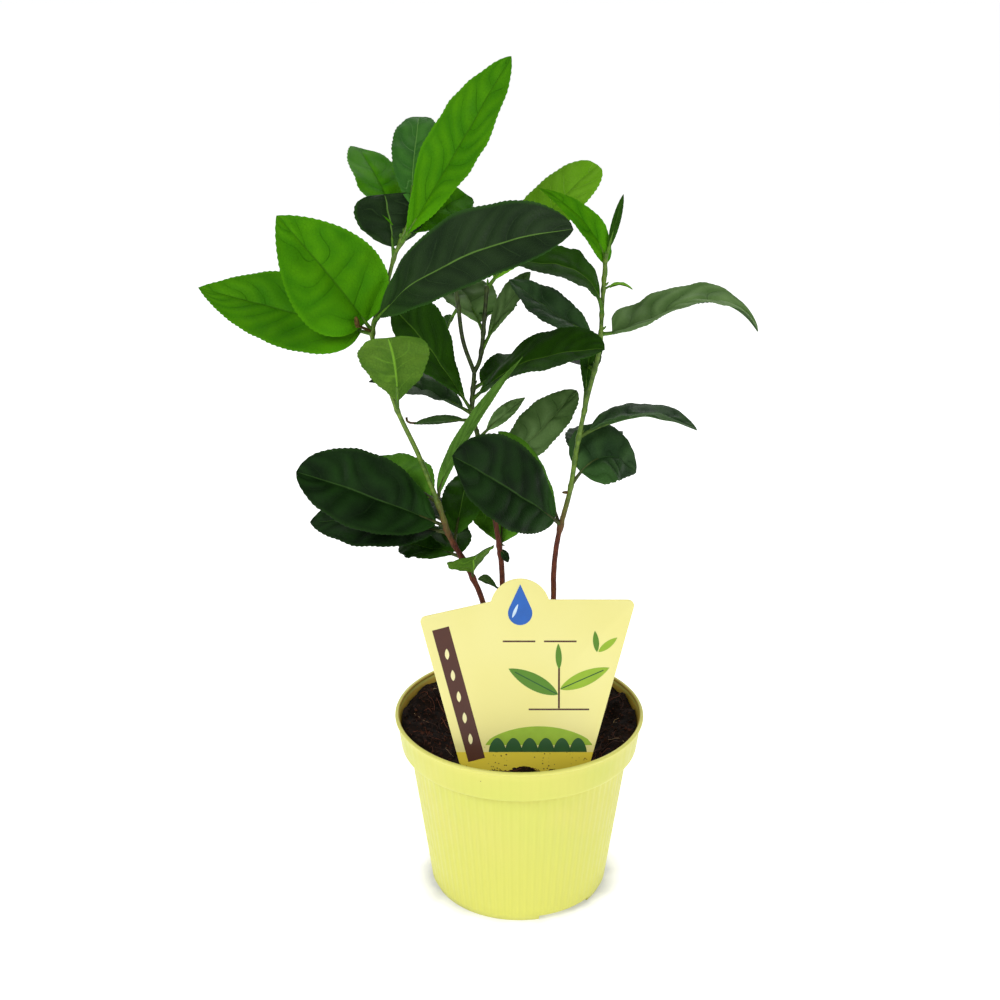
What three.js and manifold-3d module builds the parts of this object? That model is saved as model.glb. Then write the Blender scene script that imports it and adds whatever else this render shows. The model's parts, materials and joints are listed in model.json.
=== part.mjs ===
// A young tea bush, Camellia sinensis, in its pale yellow nursery pot, in millimetres, +Z up.
// The origin is on the pot's axis, on the surface that the pot stands on.
// The viewer's side is -Y: a turn of 0 points to +X, 90 away from the viewer and 180 to -X.

import * as THREE from 'three';
import { mergeVertices } from 'three/addons/utils/BufferGeometryUtils.js';
import Module from 'manifold-3d';

const wasm = await Module();
wasm.setup();

// ---------------------------------------------------------------- driving dimensions

const CLEARANCE = 0.3;          // between neighbouring pieces

const POT_HEIGHT = 92;
const POT_RIM_RADIUS = 60;      // outside of the rolled lip
const POT_MOUTH_RADIUS = 58;    // inside of the lip
const POT_FOOT_RADIUS = 42;
const POT_WALL = 1.3;
const POT_SIDES = 72;
const COLLAR_FOOT = 75.5;       // the collar is the wider band under the rim
const COLLAR_STEP = 3.8;        // how far the collar stands out of the tapered body
const STEP_FOOT = 73.5;         // the same step on the inside of the wall
const STEP_TOP = 77.5;
const FLOOR_UNDERSIDE = 1.8;    // the pot's floor is raised on its foot ring
const FOOT_HEIGHT = 3;          // of the narrower foot ring under the wall
const NOTCH_HEIGHT = 2.7;       // three drainage notches are cut through the foot ring
const NOTCH_TURNS = [-137, -17, 103];
const NOTCH_ANGLE = 40;
const DRAIN_HOLES = 8;
const DRAIN_HOLE_RADIUS = 4;
const DRAIN_CIRCLE = 28;

const SOIL_TOP = 82;
const SOIL_BUMP = 1;            // how uneven the peat's surface is
const SOIL_LEVEL_RADIUS = 22;   // the stems stand on level peat inside this radius
const SOIL_ROUGH_RADIUS = 30;   // and it is fully uneven outside this one
const SOIL_RISE = 7;            // the peat is heaped up by this much against the wall
const SOIL_HOLLOW_RADIUS = 36;  // where it starts to rise
const SOIL_HEAP_RADIUS = 55;    // and where it has risen
const SOIL_FRONT_Y = -42;       // in front of the card it stays low
const SOIL_BACK_Y = -18;

const LABEL_THICKNESS = 0.8;
const LABEL_LEAN = 15;          // degrees that the card leans back from upright
const LABEL_FOOT_Y = -38;       // where the card enters the peat
const LABEL_DEPTH = 18;         // how deep it is pushed in
const LABEL_STAKE_HALF = 9;     // half the width of the stake's end
const LABEL_LEFT = -27.5;       // the card's two edges where it enters the peat
const LABEL_RIGHT = 32;
const LABEL_SPREAD = 0.268;     // how much each edge moves outward for each millimetre up
const LABEL_LEFT_TOP = 69;      // heights up the card of its two top corners
const LABEL_RIGHT_TOP = 76.5;
const LABEL_BEVEL = 3;          // the corners are cut off by this much
const LABEL_TAB_RADIUS = 13.8;  // the round tab on the top edge

const LEAF_THICKNESS = 1.1;
const LEAF_STEPS = 9;
const STALK_LENGTH = 5;
const STALK_RADIUS = 0.7;
const STEM_SIDES = 8;
const STEM_FOOT_RADIUS = 1.5;
const STEM_TIP_RADIUS = 0.8;
const STEM_FLARE = 1.1;         // extra radius where a stem leaves the peat
const STEM_FLARE_HEIGHT = 5;
const PLANT_TOP = 336;          // height at which the stems have thinned to their tip radius

// ---------------------------------------------------------------- materials

function paint(color, roughness) {
  return new THREE.MeshStandardMaterial({ color, roughness, metalness: 0 });
}

const POT_YELLOW = paint(0xe4e27a, 0.45);
const PEAT_BROWN = paint(0x2e1a0e, 0.95);
const CARD_YELLOW = paint(0xf2ea9a, 0.5);
const BARK_BROWN = paint(0x6e3c28, 0.7);
const DARK_LEAF = paint(0x1f3a17, 0.4);
const MID_LEAF = paint(0x2f5d14, 0.42);
const YOUNG_LEAF = paint(0x4b8a12, 0.45);

// ---------------------------------------------------------------- solids

function radians(degrees) {
  return THREE.MathUtils.degToRad(degrees);
}

// A closed three.js geometry as a solid that can be joined and cut.
function solid(geometry) {
  const bare = geometry.clone();
  for (const name of Object.keys(bare.attributes)) {
    if (name !== 'position') bare.deleteAttribute(name);
  }
  const merged = mergeVertices(bare, 1e-4);
  return new wasm.Manifold(new wasm.Mesh({
    numProp: 3,
    vertProperties: new Float32Array(merged.attributes.position.array),
    triVerts: new Uint32Array(merged.index.array),
  }));
}

function geometryOf(manifold) {
  const mesh = manifold.getMesh();
  const geometry = new THREE.BufferGeometry();
  geometry.setAttribute('position', new THREE.BufferAttribute(new Float32Array(mesh.vertProperties), 3));
  geometry.setIndex(new THREE.BufferAttribute(new Uint32Array(mesh.triVerts), 1));
  geometry.computeVertexNormals();
  return geometry;
}

// Rings of points, all with the same count, skinned into one closed geometry with flat ends.
function skin(rings) {
  const sides = rings[0].length;
  const points = rings.flat();
  const faces = [];
  for (let ring = 0; ring + 1 < rings.length; ring += 1) {
    for (let side = 0; side < sides; side += 1) {
      const a = ring * sides + side;
      const b = ring * sides + (side + 1) % sides;
      faces.push(a, b, b + sides, a, b + sides, a + sides);
    }
  }
  const last = (rings.length - 1) * sides;
  for (let side = 1; side + 1 < sides; side += 1) {
    faces.push(0, side + 1, side);
    faces.push(last, last + side, last + side + 1);
  }
  const geometry = new THREE.BufferGeometry();
  const flat = points.flatMap((point) => [point.x, point.y, point.z]);
  geometry.setAttribute('position', new THREE.Float32BufferAttribute(flat, 3));
  geometry.setIndex(faces);
  return geometry;
}

// ---------------------------------------------------------------- pot

function collarRadius(height) {
  const rise = (height - COLLAR_FOOT) / (POT_HEIGHT - COLLAR_FOOT);
  return THREE.MathUtils.lerp(POT_RIM_RADIUS - 3, POT_RIM_RADIUS - 0.7, rise);
}

function bodyRadius(height) {
  const bodyTop = collarRadius(COLLAR_FOOT) - COLLAR_STEP;
  return THREE.MathUtils.lerp(POT_FOOT_RADIUS + 0.8, bodyTop, height / COLLAR_FOOT);
}

// A slice of a ring, from below the floor up to a height, to cut a notch with.
function ringSlice(inner, outer, turn, top) {
  const start = radians(turn - NOTCH_ANGLE / 2);
  const end = radians(turn + NOTCH_ANGLE / 2);
  const slice = new THREE.Shape();
  slice.absarc(0, 0, outer, start, end, false);
  slice.absarc(0, 0, inner, end, start, true);
  slice.closePath();
  const cutter = new THREE.ExtrudeGeometry(slice, { depth: top + 1, bevelEnabled: false, curveSegments: 8 });
  return solid(cutter.translate(0, 0, -1));
}

function potSolid() {
  const floorTop = FLOOR_UNDERSIDE + POT_WALL;
  const footInside = POT_FOOT_RADIUS - 3;
  const profile = [
    [0, FLOOR_UNDERSIDE],
    [footInside, FLOOR_UNDERSIDE],
    [footInside + 0.8, 0],
    [POT_FOOT_RADIUS, 0],
    [bodyRadius(FOOT_HEIGHT), FOOT_HEIGHT],
    [bodyRadius(COLLAR_FOOT), COLLAR_FOOT - 0.6],
    [collarRadius(COLLAR_FOOT) - 0.8, COLLAR_FOOT],
    [collarRadius(COLLAR_FOOT), COLLAR_FOOT + 0.8],
    [collarRadius(POT_HEIGHT - 3), POT_HEIGHT - 3],
    [POT_RIM_RADIUS, POT_HEIGHT - 1.8],
    [POT_RIM_RADIUS, POT_HEIGHT - 0.7],
    [POT_RIM_RADIUS - 0.7, POT_HEIGHT],
    [POT_MOUTH_RADIUS + 0.6, POT_HEIGHT],
    [POT_MOUTH_RADIUS, POT_HEIGHT - 0.7],
    [collarRadius(STEP_TOP) - POT_WALL, STEP_TOP],
    [bodyRadius(STEP_FOOT) - POT_WALL, STEP_FOOT],
    [bodyRadius(floorTop) - POT_WALL, floorTop],
    [0, floorTop],
  ].map(([radius, height]) => new THREE.Vector2(radius, height));
  const shell = new THREE.LatheGeometry(profile, POT_SIDES).rotateX(Math.PI / 2);
  let pot = solid(shell);

  for (const turn of NOTCH_TURNS) {
    const outside = POT_FOOT_RADIUS + 4;
    const skinInside = POT_FOOT_RADIUS - 1;
    pot = pot.subtract(ringSlice(footInside - 1, outside, turn, FLOOR_UNDERSIDE - 0.1));
    pot = pot.subtract(ringSlice(skinInside, outside, turn, NOTCH_HEIGHT));
  }
  for (let hole = 0; hole < DRAIN_HOLES; hole += 1) {
    const turn = (hole / DRAIN_HOLES) * 2 * Math.PI;
    const drill = new THREE.CylinderGeometry(DRAIN_HOLE_RADIUS, DRAIN_HOLE_RADIUS, 10, 12);
    drill.rotateX(Math.PI / 2);
    drill.translate(DRAIN_CIRCLE * Math.cos(turn), DRAIN_CIRCLE * Math.sin(turn), floorTop);
    pot = pot.subtract(solid(drill));
  }
  return pot;
}

// ---------------------------------------------------------------- label

// The card's outline in its own plane: x across, y up from where it enters the peat.
// Under the peat it narrows to a stake.
function labelOutline(margin) {
  const leftAt = (height) => LABEL_LEFT - LABEL_SPREAD * height - margin;
  const rightAt = (height) => LABEL_RIGHT + LABEL_SPREAD * height + margin;
  const leftTop = leftAt(LABEL_LEFT_TOP);
  const rightTop = rightAt(LABEL_RIGHT_TOP);
  const tabFoot = LABEL_RIGHT_TOP - 1;
  const shape = new THREE.Shape();
  shape.moveTo(-LABEL_STAKE_HALF - margin, -LABEL_DEPTH - margin);
  shape.lineTo(LABEL_STAKE_HALF + margin, -LABEL_DEPTH - margin);
  shape.lineTo(rightAt(-1), -1 - margin);
  shape.lineTo(rightTop, LABEL_RIGHT_TOP);
  shape.lineTo(rightTop - LABEL_BEVEL, LABEL_RIGHT_TOP + LABEL_BEVEL);
  shape.absarc(0, tabFoot, LABEL_TAB_RADIUS, radians(8), radians(175), false);
  shape.lineTo(leftTop + LABEL_BEVEL, LABEL_LEFT_TOP + LABEL_BEVEL);
  shape.lineTo(leftTop, LABEL_LEFT_TOP);
  shape.lineTo(leftAt(-1), -1 - margin);
  shape.closePath();
  return shape;
}

function labelGeometry(margin) {
  const options = { depth: LABEL_THICKNESS + 2 * margin, bevelEnabled: false, curveSegments: 14 };
  const card = new THREE.ExtrudeGeometry(labelOutline(margin), options);
  card.translate(0, 0, -margin);
  card.rotateX(radians(90 - LABEL_LEAN));
  card.translate(0, LABEL_FOOT_Y, SOIL_TOP);
  return card;
}

// ---------------------------------------------------------------- peat

// A slow unevenness of the surface, level where the stems stand and heaped up at the wall behind.
function soilHeight(x, y) {
  const radius = Math.hypot(x, y);
  const swell = Math.sin(x * 0.21 + 1.3) * Math.cos(y * 0.17 - 0.4) + 0.5 * Math.sin(x * 0.4 - y * 0.33);
  const middle = THREE.MathUtils.smoothstep(radius, SOIL_LEVEL_RADIUS, SOIL_ROUGH_RADIUS);
  const outward = THREE.MathUtils.smoothstep(radius, SOIL_HOLLOW_RADIUS, SOIL_HEAP_RADIUS);
  const heap = outward * THREE.MathUtils.smoothstep(y, SOIL_FRONT_Y, SOIL_BACK_Y);
  return SOIL_TOP + SOIL_BUMP * swell * middle + SOIL_RISE * heap;
}

function soilSolid() {
  const wallGap = POT_WALL + CLEARANCE + 0.25;
  const floorTop = FLOOR_UNDERSIDE + POT_WALL;
  const foot = floorTop + CLEARANCE;
  const edge = SOIL_TOP + SOIL_RISE;
  const profile = [
    [0, foot],
    [bodyRadius(foot) - wallGap, foot],
    [bodyRadius(STEP_FOOT) - wallGap, STEP_FOOT],
    [collarRadius(STEP_TOP) - wallGap, STEP_TOP],
    [collarRadius(edge) - wallGap - 0.4, edge - 2],
  ];
  for (const radius of [54, 48, 42, 36, 30, 20, 0]) profile.push([radius, SOIL_TOP]);
  const points = profile.map(([radius, height]) => new THREE.Vector2(radius, height));
  const peat = new THREE.LatheGeometry(points, 40).rotateX(Math.PI / 2);
  const position = peat.attributes.position;
  for (let index = 0; index < position.count; index += 1) {
    if (Math.abs(position.getZ(index) - SOIL_TOP) < 0.01) {
      position.setZ(index, soilHeight(position.getX(index), position.getY(index)));
    }
  }
  return solid(peat).subtract(solid(labelGeometry(CLEARANCE)));
}

// ---------------------------------------------------------------- stems

function path(points) {
  const stops = points.map(([x, y, z]) => new THREE.Vector3(x, y, z));
  return new THREE.CatmullRomCurve3(stops, false, 'catmullrom', 0.5);
}

const FOOT = SOIL_TOP + CLEARANCE;

// Each stem rises from the peat and is bent a little at its old leaf joints.
const STEMS = {
  left: path([
    [-4, 3, FOOT], [-10, 1, 116], [-17, -2, 149], [-22, -3, 163], [-27, -4, 174], [-33, -5, 186],
    [-37, -6, 200], [-46, -8, 226], [-55, -10, 248], [-62, -10, 271], [-65, -10, 284],
    [-59, -6, 302], [-55, -4, 316], [-51, -2, 324], [-47, 1, 335],
  ]),
  middle: path([
    [-5, 11, FOOT], [-7, 12, 116], [-8, 12, 145], [-9, 14, 167], [-14, 14, 200],
    [-19, 14, 225], [-22, 14, 239], [-21, 14, 258],
  ]),
  middle_left: path([[-21, 14, 258], [-26, 14, 273], [-28, 12, 290], [-29, 11, 298]]),
  middle_right: path([[-21, 14, 258], [-18, 14, 266], [-16, 14, 287], [-15, 14, 299]]),
  right: path([
    [12, 3, FOOT], [15, 2, 116], [16, 2, 148], [16, 2, 165], [18, 2, 183], [23, 2, 205],
    [26, 4, 226], [30, 4, 248], [35, 4, 271], [36, 4, 292], [37, 4, 316],
  ]),
};

// The curve's parameter where it passes a height: every stem rises all the way.
function atHeight(curve, height) {
  let low = 0;
  let high = 1;
  for (let step = 0; step < 40; step += 1) {
    const middle = (low + high) / 2;
    if (curve.getPoint(middle).z < height) low = middle;
    else high = middle;
  }
  return (low + high) / 2;
}

function stemRadius(height) {
  const rise = THREE.MathUtils.clamp((height - SOIL_TOP) / (PLANT_TOP - SOIL_TOP), 0, 1);
  const flare = STEM_FLARE * Math.exp(-(height - SOIL_TOP) / STEM_FLARE_HEIGHT);
  return THREE.MathUtils.lerp(STEM_FOOT_RADIUS, STEM_TIP_RADIUS, rise) + flare;
}

// A tapering piece of a stem between two heights, cut square to the stem, or level at the peat.
function limb(curve, from, to, levelFoot = false) {
  const start = atHeight(curve, from);
  const end = atHeight(curve, to);
  const steps = Math.max(2, Math.ceil((to - from) / 9));
  const rings = [];
  for (let step = 0; step <= steps; step += 1) {
    const t = THREE.MathUtils.lerp(start, end, step / steps);
    const centre = curve.getPoint(t);
    const along = levelFoot && step === 0 ? new THREE.Vector3(0, 0, 1) : curve.getTangent(t);
    const side = new THREE.Vector3(0, 1, 0).cross(along).normalize();
    const front = along.clone().cross(side);
    const radius = stemRadius(centre.z);
    const ring = [];
    for (let corner = 0; corner < STEM_SIDES; corner += 1) {
      const turn = (corner / STEM_SIDES) * 2 * Math.PI;
      ring.push(centre.clone()
        .addScaledVector(side, radius * Math.cos(turn))
        .addScaledVector(front, radius * Math.sin(turn)));
    }
    rings.push(ring);
  }
  return solid(skin(rings));
}

// ---------------------------------------------------------------- leaves

// A blade's half width along its length, 1 at its widest: pointed at both ends.
function bladeShape(along, rear, blunt) {
  const widest = rear / (rear + blunt);
  return (along ** rear * (1 - along) ** blunt) / (widest ** rear * (1 - widest) ** blunt);
}

// One leaf, from its joint on the stem to its tip. `turn` and `rise` are its heading in degrees,
// `roll` tips it about that heading, `arch` bows it upward and `sway` sideways, as parts of its
// length, `fold` lifts its two halves from the midrib, and a small `blunt` rounds its tip.
function leafSolid(curve, spec) {
  const { at, turn, rise, length, width } = spec;
  const { roll = 0, arch = 0.05, sway = 0, fold = 13, rear = 0.75, blunt = 0.8, peak = 0.5 } = spec;
  const root = curve.getPoint(atHeight(curve, at));
  const heading = new THREE.Vector3(
    Math.cos(radians(rise)) * Math.cos(radians(turn)),
    Math.cos(radians(rise)) * Math.sin(radians(turn)),
    Math.sin(radians(rise)),
  );
  const face = new THREE.Vector3(
    -Math.sin(radians(rise)) * Math.cos(radians(turn)),
    -Math.sin(radians(rise)) * Math.sin(radians(turn)),
    Math.cos(radians(rise)),
  ).applyAxisAngle(heading, radians(roll));
  const across = heading.clone().cross(face);
  const stalk = Math.min(STALK_LENGTH, 0.2 * length);
  const skew = Math.log(0.5) / Math.log(peak);

  const midrib = (u) => {
    const bow = 4 * u ** skew * (1 - u ** skew);
    return root.clone()
      .addScaledVector(heading, u * length)
      .addScaledVector(face, bow * arch * length)
      .addScaledVector(across, bow * sway * length);
  };

  const stops = [0, stalk / length];
  for (let step = 1; step <= LEAF_STEPS; step += 1) {
    const along = 1 - (1 - step / LEAF_STEPS) ** 1.15;
    stops.push(stalk / length + (1 - stalk / length) * along);
  }
  const rings = stops.map((u) => {
    const ahead = midrib(Math.min(u + 0.01, 1)).sub(midrib(Math.max(u - 0.01, 0))).normalize();
    const side = ahead.clone().cross(face).normalize();
    const up = side.clone().cross(ahead);
    const along = THREE.MathUtils.clamp((u * length - stalk) / (length - stalk), 0, 1);
    const blade = 0.5 * width * bladeShape(along, rear, blunt);
    const half = Math.max(blade, along < 0.5 ? STALK_RADIUS : 0.25);
    const thick = along > 0.97 ? 0.2 : 0.5 * LEAF_THICKNESS;
    const centre = midrib(u);
    const lift = half * Math.sin(radians(fold));
    const reach = half * Math.cos(radians(fold));
    return [
      centre.clone().addScaledVector(side, -reach).addScaledVector(up, lift),
      centre.clone().addScaledVector(up, thick),
      centre.clone().addScaledVector(side, reach).addScaledVector(up, lift),
      centre.clone().addScaledVector(up, -thick),
    ];
  });
  return solid(skin(rings));
}

// ---------------------------------------------------------------- the masses of leaves

// A mass is a piece of stem with the leaves that it bears. Heights are above the floor.
const MASSES = {
  left_low_leaves: {
    stem: 'left', from: 155, to: 196, material: DARK_LEAF,
    leaves: [
      { at: 190, turn: -170, rise: 25, length: 74, width: 38, roll: -50, arch: 0.04, blunt: 0.6 },
      { at: 187, turn: 176, rise: 3, length: 64, width: 34, roll: -30 },
      { at: 174, turn: 145, rise: -3, length: 36, width: 26, roll: -15 },
      { at: 172, turn: 112, rise: 8, length: 34, width: 20, arch: 0.08 },
      { at: 181, turn: 80, rise: 32, length: 42, width: 19, roll: 10 },
      { at: 193, turn: 120, rise: -14, length: 60, width: 30 },
      { at: 163, turn: -84, rise: 52, length: 22, width: 24, roll: 22, rear: 1.3 },
    ],
  },
  left_middle_leaves: {
    stem: 'left', from: 196, to: 262, material: MID_LEAF,
    leaves: [
      { at: 202, turn: 135, rise: 7, length: 52, width: 30, roll: -10 },
      {
        at: 200, turn: -22, rise: 62, length: 86, width: 8, roll: 62,
        arch: 0.02, sway: -0.07, peak: 0.34, rear: 0.5, blunt: 1.1,
      },
      {
        at: 248, turn: -94, rise: 60, length: 46, width: 31, roll: 8,
        arch: 0.04, sway: -0.03, fold: 8, blunt: 0.5, rear: 0.95,
      },
    ],
  },
  left_crown_leaves: {
    stem: 'left', from: 262, to: 309, material: YOUNG_LEAF,
    leaves: [
      { at: 284, turn: -174, rise: 53, length: 65, width: 44, roll: -75, sway: 0.01, blunt: 0.9, rear: 0.5 },
      {
        at: 283, turn: 163, rise: 10, length: 84, width: 42, roll: -40,
        arch: 0.03, sway: -0.02, blunt: 0.95, rear: 0.45,
      },
      { at: 288, turn: -30, rise: 28, length: 110, width: 39, roll: 50, arch: 0.1, sway: -0.02, blunt: 0.6 },
      { at: 296, turn: 85, rise: -8, length: 62, width: 32, arch: 0.08 },
      { at: 292, turn: 120, rise: -22, length: 66, width: 32, arch: 0.08 },
    ],
  },
  left_tip_leaves: {
    stem: 'left', from: 309, to: 335, material: YOUNG_LEAF,
    leaves: [
      { at: 321, turn: -4, rise: 59, length: 93, width: 33, roll: 45, arch: 0.02, sway: 0.03, rear: 1 },
      { at: 333, turn: 87, rise: 38, length: 57, width: 20, roll: -5, arch: 0.08, blunt: 0.5 },
      { at: 323, turn: 118, rise: 35, length: 57, width: 26, roll: 10, arch: 0.1, sway: -0.05 },
      { at: 315, turn: 114, rise: 70, length: 28, width: 36, roll: 5, arch: 0.05, blunt: 0.45 },
      { at: 323, turn: 38, rise: 24, length: 38, width: 24, roll: 25, arch: 0.04, blunt: 0.5 },
      { at: 326, turn: 88, rise: -12, length: 56, width: 26 },
    ],
  },
  middle_foot_leaves: {
    stem: 'middle', from: 146, to: 210, material: DARK_LEAF,
    leaves: [
      { at: 168, turn: 84, rise: 50, length: 36, width: 34, rear: 0.95 },
      { at: 149, turn: -160, rise: 40, length: 15, width: 5.5, roll: 60, blunt: 0.4, rear: 1.2 },
      { at: 172, turn: -20, rise: -60, length: 9, width: 4, roll: 40 },
      { at: 190, turn: 80, rise: -10, length: 55, width: 30 },
      { at: 204, turn: 22, rise: 42, length: 60, width: 24, roll: 26, sway: 0.04, blunt: 0.7, rear: 0.9 },
    ],
  },
  middle_fork_leaves: {
    stem: 'middle', from: 210, to: 258, material: MID_LEAF,
    twigs: [['middle_left', 258, 266], ['middle_right', 258, 266]],
    leaves: [
      { at: 239, turn: -145, rise: 54, length: 71, width: 32, roll: -65, arch: 0.03, blunt: 0.6, rear: 1.6 },
      { at: 238, turn: 173, rise: 16, length: 50, width: 26, roll: -5, arch: 0.08 },
      { at: 235, turn: -142, rise: 9, length: 34, width: 5.5, roll: 65, arch: 0.04 },
      { at: 226, turn: 5, rise: 42, length: 29, width: 8, roll: 45, rear: 1, blunt: 1 },
      { at: 245, turn: -34, rise: 27, length: 78, width: 30, roll: 28, arch: 0.08, sway: -0.03, blunt: 0.6 },
      { at: 250, turn: 38, rise: 4, length: 50, width: 28, arch: 0.08 },
    ],
  },
  middle_left_leaves: {
    stem: 'middle_left', from: 266, to: 296, material: MID_LEAF,
    leaves: [
      { at: 289, turn: 125, rise: -67, length: 28, width: 16, roll: -60, arch: 0.1 },
      { at: 293, turn: 104, rise: 26, length: 26, width: 26 },
    ],
  },
  middle_right_leaves: {
    stem: 'middle_right', from: 266, to: 299, material: YOUNG_LEAF,
    leaves: [
      { at: 277, turn: 122, rise: 36, length: 34, width: 28, roll: 5 },
      { at: 268, turn: 20, rise: 56, length: 42, width: 12, roll: 25, rear: 1.3 },
      { at: 297, turn: 25, rise: 43, length: 75, width: 25, roll: 30, arch: 0.05, blunt: 0.45 },
      { at: 284, turn: 88, rise: -14, length: 60, width: 28 },
    ],
  },
  right_low_leaves: {
    stem: 'right', from: 178, to: 222, material: DARK_LEAF,
    leaves: [
      { at: 188, turn: -150, rise: 38, length: 72, width: 42, roll: -60, arch: 0.03, blunt: 0.6 },
      {
        at: 207, turn: 16, rise: 6, length: 32, width: 34, roll: 36,
        arch: 0.32, sway: -0.18, rear: 0.5, blunt: 0.85,
      },
      { at: 186, turn: -178, rise: 59, length: 56, width: 12, roll: -30, sway: 0.08, rear: 1.2 },
      { at: 219, turn: 68, rise: -2, length: 50, width: 26 },
    ],
  },
  right_middle_leaves: {
    stem: 'right', from: 222, to: 266, material: DARK_LEAF,
    leaves: [
      { at: 230, turn: 0, rise: 4, length: 54, width: 26, roll: -5, arch: 0.14, sway: -0.03, fold: 20 },
      { at: 243, turn: 75, rise: 62, length: 36, width: 11, roll: 40, blunt: 0.5, rear: 1.3, sway: -0.05 },
      { at: 262, turn: 110, rise: -10, length: 60, width: 26 },
    ],
  },
  right_upper_leaves: {
    stem: 'right', from: 266, to: 294, material: DARK_LEAF,
    leaves: [
      { at: 276, turn: 166, rise: 31, length: 49, width: 19, roll: -28, arch: -0.03 },
      {
        at: 279, turn: 0, rise: 1, length: 70, width: 29, roll: 8,
        arch: 0.21, fold: 20, peak: 0.68, rear: 0.22, blunt: 0.55,
      },
      { at: 288, turn: -174, rise: 31, length: 47, width: 24, roll: -25, arch: 0.26, peak: 0.45 },
    ],
  },
  right_tip_leaves: {
    stem: 'right', from: 294, to: 316, material: YOUNG_LEAF,
    leaves: [
      {
        at: 304, turn: 164, rise: 52, length: 49, width: 13, roll: -35,
        arch: 0.11, sway: 0.12, blunt: 1.1, rear: 0.6, peak: 0.42,
      },
      { at: 312, turn: 58, rise: 60, length: 31, width: 4, roll: 30, arch: 0.02, fold: 20 },
      { at: 299, turn: 0, rise: 2, length: 13, width: 4, arch: 0.2 },
    ],
  },
};

function massSolid(mass) {
  const curve = STEMS[mass.stem];
  const foot = mass.from + CLEARANCE;
  const pieces = [limb(curve, foot, mass.to)];
  for (const [twig, from, to] of mass.twigs ?? []) {
    pieces.push(limb(STEMS[twig], from - 1.5, to));
  }
  for (const leaf of mass.leaves) pieces.push(leafSolid(curve, leaf));
  return pieces.reduce((whole, piece) => whole.add(piece));
}

// ---------------------------------------------------------------- the plant in its pot

const plant = new THREE.Group();

function addPiece(name, geometry, material) {
  const mesh = new THREE.Mesh(geometry, material);
  mesh.name = name;
  plant.add(mesh);
}

addPiece('pot', geometryOf(potSolid()), POT_YELLOW);
addPiece('soil', geometryOf(soilSolid()), PEAT_BROWN);
addPiece('label', labelGeometry(0), CARD_YELLOW);

// The bare feet of the three stems, each up to where its first mass of leaves begins.
const BARE_STEMS = { left: 155, middle: 146, right: 178 };
for (const [stem, top] of Object.entries(BARE_STEMS)) {
  addPiece(`${stem}_stem`, geometryOf(limb(STEMS[stem], FOOT, top, true)), BARK_BROWN);
}
for (const [name, mass] of Object.entries(MASSES)) {
  addPiece(name, geometryOf(massSolid(mass)), mass.material);
}

export default plant;
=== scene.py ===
# %% [markdown]
# # A young tea bush in its nursery pot
#
# The object is a tea bush about 40 cm tall, as a garden shop sells it: three thin woody stems with
# leathery, finely toothed leaves, in a pale yellow plastic pot of peat with a card stuck in front.
# The solid model fixes every size, so it is loaded first and nothing in it is moved. This lesson
# gives it surfaces: each cell models one piece as it really is, finishes it and lays it over its
# solid. Lengths are in millimetres and turn into Blender's metres through `MM`. Only the camera,
# the lamps and the floor are given in metres.

import json
import math

import bpy
import numpy as np
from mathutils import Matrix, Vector, noise


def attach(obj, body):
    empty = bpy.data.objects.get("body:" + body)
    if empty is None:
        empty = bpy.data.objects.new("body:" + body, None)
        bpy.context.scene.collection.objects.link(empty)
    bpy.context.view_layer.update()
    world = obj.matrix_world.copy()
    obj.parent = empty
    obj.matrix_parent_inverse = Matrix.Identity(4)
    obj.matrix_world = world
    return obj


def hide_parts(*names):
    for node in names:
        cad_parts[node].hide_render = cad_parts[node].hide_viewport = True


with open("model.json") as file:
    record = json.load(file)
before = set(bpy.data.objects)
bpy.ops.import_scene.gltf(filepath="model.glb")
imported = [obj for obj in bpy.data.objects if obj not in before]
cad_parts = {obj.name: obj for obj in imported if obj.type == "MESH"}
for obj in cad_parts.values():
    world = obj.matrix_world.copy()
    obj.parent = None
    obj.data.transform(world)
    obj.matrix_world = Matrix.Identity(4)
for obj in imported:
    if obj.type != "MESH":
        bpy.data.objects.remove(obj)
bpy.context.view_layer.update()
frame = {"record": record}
MM = 0.001

# %% [markdown]
# ## The camera
#
# The view is that of someone who stands in front of a table and looks down on the plant at about
# 21 degrees. The camera is close, so the pot's mouth opens towards it and its sides run together.

# %% Place the camera
CAMERA_PLACE = (-0.00927, -0.720, 0.4846)
CAMERA_PITCH = 21.497
CAMERA_LENS = 60.5
camera_turn = (math.radians(90 - CAMERA_PITCH), 0, 0)
bpy.ops.object.camera_add(location=CAMERA_PLACE, rotation=camera_turn)
camera = bpy.context.object
camera.data.lens = CAMERA_LENS
bpy.context.scene.camera = camera
print("camera at", tuple(round(value, 4) for value in camera.location))

# %% [markdown]
# ## Shader maths
#
# A procedural finish is arithmetic on sockets: where a vein lies, how far up a stem the bark goes
# green. Writing that as Python expressions is far easier to read than a list of links, so one
# small class wraps a socket. Its operators add Math nodes, and `node` adds any other node.


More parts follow.
